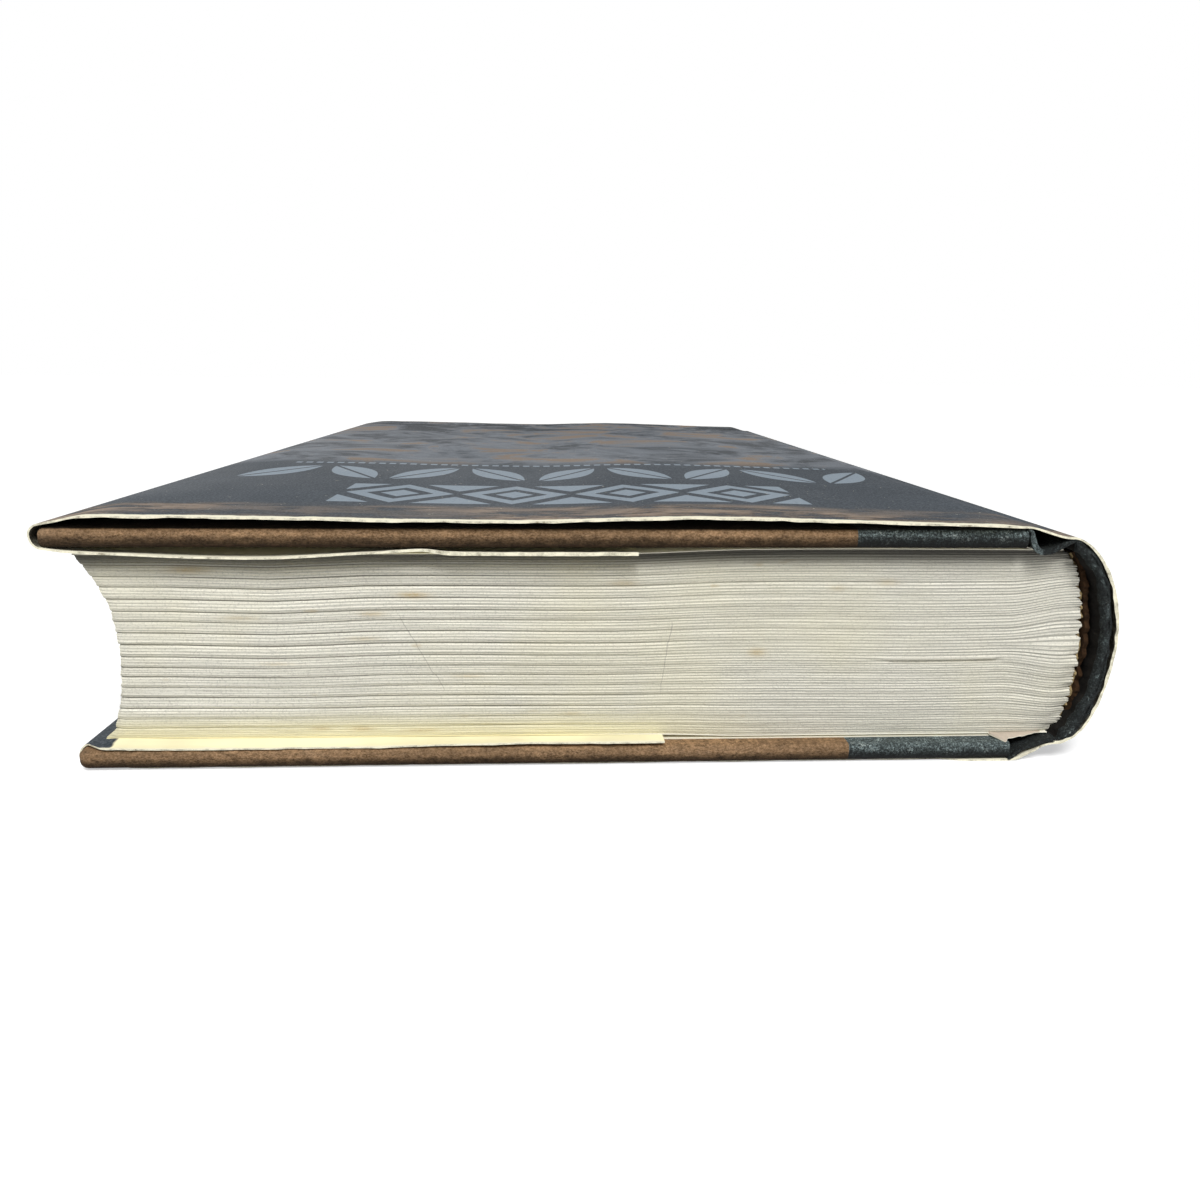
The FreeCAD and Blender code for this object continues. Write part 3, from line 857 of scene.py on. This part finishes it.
def jacket_back_line(jacket):
    """From the spine's back crest along the table, round the fold and in as the back flap."""
    radius = (BACK_INNER - BACK_OUTER) / 2 + 0.2 + jacket
    fold = fold_line((BACK_EDGE - 0.65 + radius, radius), radius)
    close = BACK_INNER + 0.15 + 0.05 + jacket
    joint = curve([JACKET_BACK.at(1.0), (BACK_JOINT, 0.0)], -JACKET_BACK.out, LEFT, 0.4)
    panel = curve([(BACK_JOINT, 0.0), fold[0]], LEFT, LEFT, 2.0)
    flap = curve([fold[-1], (BACK_EDGE + 15, close)], RIGHT, RIGHT)
    end = curve([(BACK_EDGE + 15, close), (BACK_EDGE + 91.6, close)], RIGHT, RIGHT, 2.0)
    return joined(joint, panel, fold, flap, end), joined(joint, panel)


# Operators

def settings():
    scene = bpy.context.scene
    return scene.hardback_sizes, scene.hardback_colours


class HARDBACK_OT_pages(bpy.types.Operator):
    """Make the pages as one block, with the gaps between signatures and the worn leaf ends"""

    bl_idname = "hardback.pages"
    bl_label = "Pages"

    def execute(self, context):
        sizes, colours = settings()
        within = np.array([0.0, 0.07, 0.18, 0.33, 0.44, 0.56, 0.68, 0.84])
        fore_relief = np.array([1.0, 0.18, 0.0, 0.05, 0.30, 0.08, 0.34, 0.22])
        spine_relief = np.array([0.34, 0.04, 0.02, 0.30, 0.04, 0.02, 0.30, 0.03])
        count = sizes.signatures
        dice = np.random.RandomState(11)
        thick = dice.uniform(0.86, 1.14, count)
        starts = np.concatenate([[0.0], np.cumsum(thick)]) / thick.sum()
        share = (starts[:-1, None] + np.diff(starts)[:, None] * within).ravel()
        share = np.append(share, 1.0)[:, None]
        level = np.append((np.arange(count)[:, None] + within).ravel(), count)[:, None]
        rings = len(share)
        depth_fore = np.append(np.tile(fore_relief, count), 0.1)[:, None]
        depth_spine = np.append(np.tile(spine_relief, count), 0.1)[:, None]
        depth_fore[0] = 0.1
        deep = np.append(np.repeat(dice.uniform(0.5, 1.15, count), len(within)), 0.5)[:, None]

        top = page_top_line(FRONT_JOINT + 12)
        low = curve([
            (BACK_EDGE + 3.4, PAGES_LOW + 0.6), (BACK_EDGE + 45.5, PAGES_LOW + 0.51),
            (BACK_EDGE + 91, PAGES_LOW + 0.36), (BACK_EDGE + 106, PAGES_LOW),
            (BACK_JOINT + 12, PAGES_LOW),
        ], RIGHT, RIGHT)

        def fanned(share, x):
            """Leaves bend away from the middle where the back is rounded."""
            q = 2 * share - 1
            bend = 1 - 0.20 * ease((x - 66.0) / 10.0)
            return 0.5 + 0.5 * np.sign(q) * np.abs(q) ** bend

        def height(share, x):
            under = np.interp(x, low[:, 0], low[:, 1]) + 0.05
            over = np.interp(x, top[:, 0], top[:, 1]) - 0.05
            sag = 0.22 * ripple(x, 26.0, 5) * np.sin(np.pi * share)
            return under + (over - under) * fanned(share, x) + sag

        # Fore edge: hollow, with its deepest place below the middle and a ragged foot
        hollow_at = (0.0, 0.03, 0.055, 0.1, 0.17, 0.27, 0.38, 0.5, 0.62, 0.74, 0.86, 1.0)
        hollow_x = (
            -77.35, -76.2, -75.9, -75.4, -74.9, -74.3, -74.0, -73.9, -74.1, -74.7, -76.1, -78.8
        )
        fore = np.interp(share, hollow_at, hollow_x)
        fore += 0.14 * ripple(level, 0.5, 21) + 0.12 * depth_fore * deep
        turn = np.arccos(1 - 2 * np.clip(1 - fanned(share, 90.0), 0, 1)) / math.pi
        back = PAGE_BACK.at(turn[:, 0])[:, :1]
        ragged = 0.22 * ripple(level, 0.21, 22) - 0.75 * (depth_fore > 0.9) * deep
        ragged[0] = ragged[-1] = 0

        def ring_side(y_edge, inward, seed):
            s = np.linspace(0, 1, 241)[None, :]
            s = s - 0.06 * np.sin(2 * np.pi * s) / (2 * np.pi)
            x = fore + s * (back + ragged - fore)
            right = ease((x + 35.0) / 75.0)
            relief = (depth_fore * (1 - right) + depth_spine * right) * deep * sizes.page_relief
            relief = relief * (0.75 + 0.5 * crumple(x, level * 1.9, 14.0, seed))
            relief = relief + 0.07 * (1 + crumple(x, level * 3.1, 22.0, seed + 1))
            worn = fade(back - x, 3.2) * (0.35 + 0.35 * ripple(level + 40, 0.37, seed + 2))
            relief = relief + worn + 0.25 * fade(x - fore, 1.2)
            if inward > 0:
                ledge = ease((x - 42.0) / 8.0) * ease((66.5 - x) / 2.0)
                relief = relief - 0.30 * bump_at(level, 7.44, 0.10) * ledge
                relief = relief + 0.45 * bump_at(level, 7.18, 0.11) * ledge
            y = y_edge + inward * np.maximum(relief, -0.2)
            return np.stack([x, y + 0 * x, height(share, x)], axis=-1)

        head = ring_side(PAGE_HEAD, 1, 31)
        tail = ring_side(PAGE_TAIL, -1, 41)[:, ::-1]

        def between(start, end, count, bow):
            """Points from one corner of each ring to the next, without the corners."""
            t = ease(np.linspace(0, 1, count + 2))[1:-1][None, :, None]
            line = start[:, None] * (1 - t) + end[:, None] * t
            line[..., 0] += bow(line[..., 1])
            line[..., 2] = height(share, line[..., 0])
            return line

        sewn_count = 60
        sewn = between(head[:, -1], tail[:, 0], sewn_count, lambda y: 0 * y)
        cut = between(
            tail[:, -1], head[:, 0], 70,
            lambda y: 0.08 * ripple(y + level * 31.0, 9.0, 51) * ease((117.5 - np.abs(y)) / 3.0),
        )
        ring = np.concatenate([head, sewn, tail, cut], axis=1)
        around = ring.shape[1]
        number = np.arange(rings * around).reshape(rings, around)
        wrapped = np.concatenate([number, number[:, :1]], axis=1)
        walls = quads(wrapped.T)[:, ::-1]
        n = head.shape[1]
        caps = []
        for row, turned in ((number[-1], False), (number[0], True)):
            near, far = row[:n], row[n + sewn_count:2 * n + sewn_count][::-1]
            faces = [[near[i], near[i + 1], far[i + 1], far[i]] for i in range(1, n - 2)]
            at_spine, at_fore = row[n - 1:n + sewn_count + 1], row[2 * n + sewn_count - 1:]
            faces.append([near[n - 2]] + list(at_spine) + [far[n - 2]])
            faces.append([near[1], far[1]] + list(at_fore) + [near[0]])
            caps += [face[::-1] for face in faces] if turned else faces
        points = ring.reshape(-1, 3)
        stain = np.zeros(len(points))
        for x, z, wide, tall, amount in FOXED_SPOTS:
            spot = bump_at(points[:, 0], x, wide) * bump_at(points[:, 2], z, tall)
            stain = np.maximum(stain, amount * spot * (points[:, 1] < 0))
        made = make_piece(
            "page_block", points, [list(walls) + caps], [page_finish(colours)],
            pages=np.broadcast_to(level, (rings, around)), stain=stain, sharp=70.0,
        )
        settle(made, ["text_block"], body="book_block")
        return {"FINISHED"}


def trimmed(amount, period, seed, reach):
    """The shape of a sheet whose head edge is a little uneven."""
    def shape(x, along, y):
        return 0, amount * np.abs(ripple(along, period, seed)) * fade(y - PAGE_HEAD, reach), 1

    return shape


class HARDBACK_OT_endpapers(bpy.types.Operator):
    """Make the endpaper hinges and finish the flyleaves and pastedowns"""

    bl_idname = "hardback.endpapers"
    bl_label = "Endpapers"

    def execute(self, context):
        sizes, colours = settings()
        plain = paper_finish(colours, "endpaper", colours.endpaper)
        on_cad = paper_finish(colours, "endpaper leaf", colours.endpaper, True)
        yellow = paper_finish(
            colours, "yellowed endpaper leaf", colours.yellowed, True, spineward=colours.page
        )
        for name in ("front_pastedown", "back_pastedown"):
            finish_node(name, on_cad)
        finish_node("back_flyleaf", yellow)
        thin = sizes.endpaper
        leaf = page_top_line(FRONT_GLUED)
        leaf[:, 1] += thin
        made = sheet(
            "front_free_leaf", leaf, rows(PAGE_HEAD, PAGE_TAIL), thin, [plain] * 3,
            trimmed(0.12, 6.0, 63, 5.0),
        )
        settle(made, ["front_flyleaf"], body="book_block")
        shoulder = span("front_flyleaf", 0)[1], span("front_flyleaf", 2)[1]
        glued = (FRONT_JOINT + 3.75, shoulder[1])
        front = joined(
            curve([(FRONT_JOINT, FRONT_INNER - thin), glued], RIGHT, RIGHT, 0.4),
            curve([glued, shoulder], RIGHT, RIGHT, 0.6),
        )
        back_end = (BACK_GLUED, PAGES_LOW - thin)
        back = curve([back_end, (BACK_JOINT, BACK_INNER + thin)], (-1, -0.06), (-1, -0.06), 0.5)
        y = rows(PAGE_HEAD, PAGE_TAIL)

        def torn(x, along, y):
            notch = 1.6 * bump_at(x, 71.6, 1.1) + 0.5 * np.abs(ripple(along, 1.3, 61))
            return 0, notch * fade(y - PAGE_HEAD, 5.0), 1

        shape = trimmed(0.2, 2.0, 62, 4.0)
        made = sheet("front_hinge_paper", front, y, thin, [plain] * 3, shape)
        settle(made, ["front_endpaper_hinge"], bend=front_bend(0.0))
        made = sheet("back_hinge_paper", back, y, thin, [plain] * 3, torn)
        settle(made, ["back_endpaper_hinge"], bend=back_bend(1.6))
        # A torn scrap of the last leaf, which sticks out at the head by the joint
        x = np.linspace(65.4, 74.0, 50)[:, None]
        out = np.linspace(0, 1, 8)[None, :]
        reach_at = (65.4, 66.1, 67.0, 67.9, 70.4, 74.0)
        reach = np.interp(x, reach_at, (0.3, 1.5, 2.9, 1.7, 1.35, 0.4))
        reach = reach + 0.12 * ripple(x, 0.5, 64)
        drop = np.interp(x, (65.4, 67.0, 68.6, 74.0), (0.10, 0.40, 0.16, -0.35))
        height = PAGES_LOW - 0.06 - drop * out ** 2.5 + 0.25 * np.sin(np.pi * out) * (x > 65.5)
        y = PAGE_HEAD + 0.4 - (reach + 0.4) * out
        top = np.stack(np.broadcast_arrays(x, y, height), axis=-1)
        under = top - (0, 0, 0.13)
        # The torn leaf's face has a greyer tone, a painted shade; its rim stays plain endpaper
        shaded_leaf = paper_finish(colours, "torn leaf", colours.torn)
        made = slab("torn_leaf_edge", under, top, [shaded_leaf, plain])
        settle(made, body="book_block")
        return {"FINISHED"}


def finish_node(name, *finishes):
    """Gives a CAD node its finish."""
    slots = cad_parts[name].data.materials
    slots.clear()
    for finish in finishes:
        slots.append(finish)


class HARDBACK_OT_lining(bpy.types.Operator):
    """Make the gauze and the brown paper glued round the back of the pages"""

    bl_idname = "hardback.lining"
    bl_label = "Back lining"

    def execute(self, context):
        colours = settings()[1]
        glued = PAGE_BACK.line(0.10, 0.90, 110)
        y = rows(PAGE_HEAD, PAGE_TAIL)
        brown = fibre_finish("glued lining paper", colours.lining, scale=0.8)
        gauze = fibre_finish("backing gauze", colours.mull, scale=1.4)

        def gauze_edge(x, along, y):
            ragged = 1.0 + 0.7 * ripple(along, 0.8, 71)
            return (
                0.38 + 0.05 * crumple(along, y, 3.0, 72),
                ragged * (fade(y - PAGE_HEAD, 5.0) - fade(PAGE_TAIL - y, 5.0)), 1,
            )

        def paper_edge(x, along, y):
            ragged = 0.2 + 0.40 * ripple(along, 1.1, 73) + 0.22 * ripple(along, 0.4, 74)
            tears = 0.14 * crumple(along, y, 1.6, 75) + 0.12 * ripple(along, 0.6, 76)
            ends = fade(y - PAGE_HEAD, 3.0) + fade(PAGE_TAIL - y, 3.0)
            return (
                0.86 + (0.22 + tears) * ends,
                ragged * (fade(y - PAGE_HEAD, 5.0) - fade(PAGE_TAIL - y, 5.0)),
                1 + (0.5 + tears) * ends,
            )

        under = sheet("back_gauze", glued, y, 0.36, [gauze] * 3, gauze_edge)
        settle(under, ["spine_mull"], body="book_block")
        over = sheet("back_lining_paper", glued, y, 0.46, [brown] * 3, paper_edge)
        settle(over, ["spine_lining"], body="book_block")
        return {"FINISHED"}


class HARDBACK_OT_case(bpy.types.Operator):
    """Make the case cloth of the spine and joints, and finish the covered boards"""

    bl_idname = "hardback.case"
    bl_label = "Case"

    def execute(self, context):
        sizes, colours = settings()
        cloth = cloth_finish(colours)
        finish_node("front_cover_cloth", cloth_finish(colours, on_cad=True))
        finish_node("back_cover_cloth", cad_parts["front_cover_cloth"].data.materials[0])
        brown = brown_paper_finish(colours)
        # A near-black finish inside the hollow, a painted shade
        hollow = fibre_finish("inside of the hollow", colours.hollow)
        board = fibre_finish("grey board", colours.board, on_cad=True)
        for side in ("front", "back"):
            finish_node(side + "_cover_paper", brown)
            finish_node(side + "_board", board)
        card = CASE_BACK.line(0.28, 0.72, 60)
        made = sheet(
            "spine_card", card, rows(HEAD + 1.4, TAIL - 1.4), 0.8,
            [fibre_finish("spine card", colours.board)] * 3, lambda x, along, y: (-0.31, 0, 1),
        )
        settle(made, ["spine_inlay"], body="book_block")
        y = rows(HEAD, TAIL, 24)
        thick = sizes.cloth
        to_front = curve([
            (FRONT_JOINT, FRONT_OUTER), (FRONT_JOINT + 2.7, FRONT_OUTER - 2.95), CASE_BACK.at(0.0)
        ], RIGHT, CASE_BACK.out, 0.25)
        to_back = curve([
            CASE_BACK.at(1.0), (BACK_JOINT + 2.6, BACK_OUTER + 1.65), (BACK_JOINT, BACK_OUTER)
        ], -CASE_BACK.out, LEFT, 0.25)

        def ends(y, reach):
            return fade(y - HEAD, reach) + fade(TAIL - y, reach)

        def spine_shape(x, along, y):
            ruck = 0.16 * crumple(along, y, 2.4, 81) + 0.10 * crumple(along, y, 1.0, 82)
            away = ease(along / 2.0)
            slide = 0.25 * (1 + ripple(along, 1.7, 83))
            slide = slide * (fade(y - HEAD, 4.0) - fade(TAIL - y, 4.0))
            hollow = ease((10.5 - along) / 4.0)
            return (
                (ruck - 0.10) * ends(y, 16.0) * away, slide * away,
                1 + (1.6 * hollow * away + 0.3 * away) * ends(y, 3.0),
            )

        def joint_shape(x, along, y):
            away = ease((lengths(to_back)[-1] - along) / 1.5)
            ruck = 0.10 * crumple(along, y, 1.8, 84) * ends(y, 12.0)
            slide = 0.2 * (1 + ripple(along, 1.5, 85)) * fade(y - HEAD, 4.0) * away
            return ruck * away, slide, 1 + 0.9 * ends(y, 3.0) * away

        spine = joined(to_front, CASE_BACK.line(count=110))
        made = sheet("case_spine_cloth", spine, y, thick, [cloth] * 3, spine_shape)
        settle(
            made, ["spine_cloth", "front_joint_cloth"], bend=front_bend(1.8)
        )
        made = sheet("case_back_joint", to_back, y, thick, [cloth] * 3, joint_shape)
        settle(made, ["back_joint_cloth"], bend=back_bend(2.8))
        for name, end, inward in (("case_head_cap", HEAD, 1), ("case_tail_cap", TAIL, -1)):
            made = head_cap(name, end, inward, sizes.head_cap, [cloth, hollow])
            settle(made, body="book_block")
        return {"FINISHED"}


def head_cap(name, end, inward, depth, finishes):
    """The cloth turned in over the spine card, crumpled, and thicker by the joints."""
    line = CASE_BACK.line(0.015, 0.985, 150)
    out = outward(line)
    along = lengths(line)[:, None]
    share = along / along[-1]
    seed = 91 if inward > 0 else 96
    full = depth + 0.50 * bump_at(share, 0.08, 0.09) + 0.65 * bump_at(share, 0.88, 0.10)
    full = full + 0.26 * ripple(along, 3.1, seed) + 0.14 * ripple(along, 1.1, seed + 1)
    full = full * ease(share / 0.035) * ease((1 - share) / 0.035) + 0.35
    # Round the fold from the outside to the turn-in
    angle = np.linspace(0, math.pi, 13)
    depth_share = np.concatenate([[0.0], 0.5 - 0.5 * np.cos(angle), [1.0, 0.97, 0.9]])[None, :]
    reach = np.concatenate([[5.0], 1.1 - 1.1 * np.sin(angle) ** 0.8, [3.0, 8.0, 15.0]])[None, :]
    under = 0.06
    across = depth_share * 4 + reach * 0.5
    rough = 0.20 * crumple(along, across, 1.5, seed + 2)
    rough = rough + 0.11 * crumple(along, across, 0.6, seed + 3)
    inside = np.minimum(full, np.where(reach > 2.5, 1.5, 9.0))
    offset = -(under + (inside - under) * depth_share) + rough * (depth_share > 0.02)
    uneven = 0.9 + 0.25 * ripple(along, 2.3, seed + 4) * (reach < 2)
    place = end + inward * (0.14 + reach * uneven + 0.12 * np.abs(rough))
    points = np.stack([
        line[:, :1] + out[:, :1] * offset, place + 0 * offset, line[:, 1:] + out[:, 1:] * offset,
    ], axis=-1)
    inner = points.copy()
    shift = 0.25 * np.sign(depth_share - 0.5)
    shift = np.where(np.abs(depth_share - 0.5) < 0.49, 0.0, shift)
    inner[..., 0] += out[:, :1] * shift
    inner[..., 2] += out[:, 1:] * shift
    inner[..., 1] += inward * 0.3 * (1 - np.abs(2 * depth_share - 1))
    if inward > 0:
        points, inner = inner, points
    # Crumple ridges, which the cloth's finish makes pale: partly rubbed wear, partly a painted
    # highlight
    ridge_rub_and_highlight = ease(rough / 0.28) * ease(1.5 - np.abs(depth_share - 0.35) * 2) * (reach < 2.5)
    # The last columns, the turn-in deep inside the hollow, take the painted-shade finish
    return slab(
        name, points, inner, finishes, deep=3, sharp=60.0, rub=np.stack([ridge_rub_and_highlight, ridge_rub_and_highlight])
    )


class HARDBACK_OT_jacket(bpy.types.Operator):
    """Make the dust jacket, in two sheets that meet along the spine's back crest"""

    bl_idname = "hardback.jacket"
    bl_label = "Dust jacket"

    def execute(self, context):
        sizes, colours = settings()
        finishes = [print_finish(colours), inside_finish(colours), cut_edge_finish(colours)]
        y = rows(HEAD, TAIL, 22)
        thick = sizes.jacket
        flap, front = jacket_front_line(thick)
        flap_length, whole = lengths(flap)[-1], lengths(front)[-1]

        def rag(along, seed):
            return 0.16 + 0.14 * ripple(along, 4.5, seed) + 0.10 * ripple(along, 1.1, seed + 1)

        def front_shape(x, along, y):
            on_flap = ease((flap_length - 2 - along) / 3.0)
            on_panel = ease((along - flap_length - 7) / 6.0) * ease((whole - 47 - along) / 9.0)
            from_head, from_tail = y - HEAD, TAIL - y
            slide = rag(along, 101) * fade(from_head, 6.0)
            slide = slide - rag(along, 103) * fade(from_tail, 6.0)
            slide = slide - 1.25 * on_panel * fade(from_head, 12.0)
            nick = bump_at(along, flap_length + 9.5, 1.2)
            nick = nick + 0.7 * bump_at(along, whole - 66.0, 0.9)
            slide = slide + 0.35 * nick * fade(from_head, 2.0)
            wave = 0.05 * (1 + ripple(along, 11.0, 105)) + 0.03 * (1 + ripple(along, 3.6, 106))
            lift = on_panel * wave * (fade(from_head, 14.0) + fade(from_tail, 14.0))
            lift = lift + 0.42 * on_panel * fade(from_head, 22.0)
            kink = bump_at(along, flap_length - 55.6, 1.6) * fade(from_head, 26.0)
            lift = lift - 0.20 * kink * on_flap
            dent = 0.12 * (1 + crumple(along, y, 30.0, 107)) * on_panel * ease(from_head / 8.0)
            frayed = sizes.fray * (0.25 + 0.55 * ripple(along, 2.3, 108)) * fade(from_head, 1.3)
            frayed = frayed + 0.7 * sizes.fray * fade(from_tail, 1.3)
            frayed = frayed + 1.1 * ease((40 - along) / 12.0) * fade(from_head, 2.2)
            frayed = frayed * (1 - 0.6 * bump_at(along, flap_length + 4.0, 4.0))
            on_spine = ease((along - whole + 40) / 10.0) * fade(from_head, 1.3)
            frayed = frayed + on_spine * (0.9 + 0.6 * ripple(along, 1.4, 109))
            return lift + dent * 0.35, slide, 1 + frayed

        made = sheet("jacket_front_sheet", front, y, thick, finishes, front_shape)
        settle(
            made, ["jacket_front", "jacket_front_joint", "jacket_spine"],
            bend=front_bend(1.8),
        )
        back, to_fold = jacket_back_line(thick)
        fold_at = lengths(to_fold)[-1]

        def back_shape(x, along, y):
            from_head, from_tail = y - HEAD, TAIL - y
            worn_away = 1.1 * ease((along - 13.0) / 8.0) + 1.1 * ease((along - fold_at + 8) / 7.0)
            worn_away = worn_away * ease((fold_at + 9 - along) / 4.0)
            slide = (rag(along, 111) + worn_away) * fade(from_head, 12.0)
            slide = slide - rag(along, 113) * fade(from_tail, 6.0)
            near_spine = ease((16 - along) / 10.0)
            frayed = sizes.fray * (0.5 + 0.5 * ripple(along, 1.6, 115)) * near_spine
            # Inside, the flap rises to the last leaf, which slopes down towards the spine
            under_leaf = np.interp(x, (-79.5, -76.5, -35.3, 10.2), (0.0, 0.55, 0.46, 0.30))
            lift = under_leaf * ease((along - fold_at - 6) / 3.0)
            lift = lift * ease((from_head - 0.9) / 1.8) * ease((from_tail - 0.9) / 1.8)
            curled = 0.42 * ease((x + 42.0) / 36.0) * ease((along - fold_at - 6) / 3.0)
            lift = np.maximum(lift, curled * np.minimum(1.0, 0.72 + 0.28 * fade(from_head, 2.6)))
            return lift, slide, 1 + frayed * fade(from_head, 1.3)

        made = sheet("jacket_back_sheet", back, y, thick, finishes, back_shape)
        settle(made, ["jacket_back", "jacket_back_joint"], bend=back_bend(2.8))
        return {"FINISHED"}


def seen_ray(tree):
    """1 for what the camera sees straight, in a reflection or through glass, and 0 for light."""
    rays = add_node(tree, "LightPath").outputs
    share = rays["Is Camera Ray"]
    for name in ("Is Glossy Ray", "Is Transmission Ray"):
        share = work(tree, "MAXIMUM", share, rays[name])
    return share


class HARDBACK_OT_stage(bpy.types.Operator):
    """Set the camera, the lights, the white surround and the floor"""

    bl_idname = "hardback.stage"
    bl_label = "Stage"

    def execute(self, context):
        scene = context.scene
        scene.view_settings.view_transform = "Standard"
        self.camera(scene)
        self.surround(scene)
        self.floor(scene)
        aim = Vector((0, 0, 0.02))
        for name, place, size, power in (
            ("key light", (0.05, -0.66, 0.76), 0.34, 6.6),
            ("second light", (-0.10, -0.66, 0.76), 0.44, 2.3),
            ("back light", (-0.42, 0.60, 0.50), 0.44, 1.0),
        ):
            lamp = bpy.data.lights.new(name, "AREA")
            lamp.size, lamp.energy = size, power
            holder = bpy.data.objects.new(name, lamp)
            holder.location = place
            holder.rotation_euler = (aim - Vector(place)).to_track_quat("-Z", "Y").to_euler()
            scene.collection.objects.link(holder)
        return {"FINISHED"}

    def camera(self, scene):
        """Low in front of the head, looking slightly down, as in the photograph."""
        pitch, yaw, roll = (math.radians(a) for a in (14.528, 3.211, 0.68))
        level = math.cos(pitch)
        ahead = Vector((math.sin(yaw) * level, math.cos(yaw) * level, -math.sin(pitch)))
        right = Vector((math.cos(yaw), -math.sin(yaw), 0.0))
        up = right.cross(ahead)
        across, aside = math.cos(roll), math.sin(roll)
        right, up = right * across + up * aside, up * across - right * aside
        data = bpy.data.cameras.new("camera")
        data.sensor_width, data.lens = 36.0, 26.846
        data.clip_start, data.clip_end = 0.01, 50.0
        camera = bpy.data.objects.new("camera", data)
        turned = Matrix((right, up, -ahead)).transposed().to_4x4()
        camera.matrix_world = Matrix.Translation(Vector((-7.244, -252.619, 61.848)) * MM) @ turned
        scene.collection.objects.link(camera)
        scene.camera = camera

    def surround(self, scene):
        """White to the camera and in reflections, and softer as light."""
        world = bpy.data.worlds.new("surround")
        scene.world = world
        world.use_nodes = True
        tree = world.node_tree
        tree.nodes.clear()
        as_light, as_seen = (
            add_node(tree, "Background", {"Color": WHITE, "Strength": strength}).outputs[0]
            for strength in (0.28, 1.0)
        )
        mix = add_node(tree, "MixShader", {0: seen_ray(tree), 1: as_light, 2: as_seen})
        add_node(tree, "OutputWorld", {0: mix.outputs[0]})

    def floor(self, scene):
        half = 4.0
        mesh = bpy.data.meshes.new("floor")
        corners = [(-half, -half, 0), (half, -half, 0), (half, half, 0), (-half, half, 0)]
        mesh.from_pydata(corners, [], [(0, 1, 2, 3)])
        finish = bpy.data.materials.new("white floor")
        finish.use_nodes = True
        tree = finish.node_tree
        # White further out, where the lamps fall off
        place = add_node(tree, "TexCoord").outputs["Object"]
        away = add_node(tree, "VectorMath", {0: place}, operation="LENGTH").outputs["Value"]
        glow = add_node(tree, "MapRange", {0: away, 1: 0.18, 2: 1.2, 3: 0.47, 4: 0.86})
        for name, value in (
            ("Base Color", (0.68, 0.68, 0.68, 1.0)), ("Roughness", 1.0),
            ("Specular IOR Level", 0.0), ("Emission Color", WHITE),
            ("Emission Strength", work(tree, "MULTIPLY", seen_ray(tree), glow.outputs[0])),
        ):
            feed(tree, tree.nodes["Principled BSDF"].inputs[name], value)
        mesh.materials.append(finish)
        made = bpy.data.objects.new("floor", mesh)
        scene.collection.objects.link(made)


# Panel and registration

OPERATORS = (
    HARDBACK_OT_stage, HARDBACK_OT_pages, HARDBACK_OT_endpapers, HARDBACK_OT_lining,
    HARDBACK_OT_case, HARDBACK_OT_jacket,
)


class HARDBACK_PT_panel(bpy.types.Panel):
    """Sizes, colours and the steps that make the book"""

    bl_label = "Hardback"
    bl_idname = "HARDBACK_PT_panel"
    bl_space_type = "VIEW_3D"
    bl_region_type = "UI"
    bl_category = "Hardback"

    def draw(self, context):
        for group in (context.scene.hardback_sizes, context.scene.hardback_colours):
            column = self.layout.column(align=True)
            for name in group.__annotations__:
                column.prop(group, name)
        for operator in OPERATORS:
            self.layout.operator(operator.bl_idname)


CLASSES = (HARDBACK_PG_sizes, HARDBACK_PG_colours) + OPERATORS + (HARDBACK_PT_panel,)


def register():
    for each in CLASSES:
        bpy.utils.register_class(each)
    bpy.types.Scene.hardback_sizes = PointerProperty(type=HARDBACK_PG_sizes)
    bpy.types.Scene.hardback_colours = PointerProperty(type=HARDBACK_PG_colours)


def unregister():
    del bpy.types.Scene.hardback_colours
    del bpy.types.Scene.hardback_sizes
    for each in reversed(CLASSES):
        bpy.utils.unregister_class(each)


def main():
    register()
    for operator in OPERATORS:
        group, name = operator.bl_idname.split(".")
        getattr(getattr(bpy.ops, group), name)()


if __name__ == "__main__":
    main()
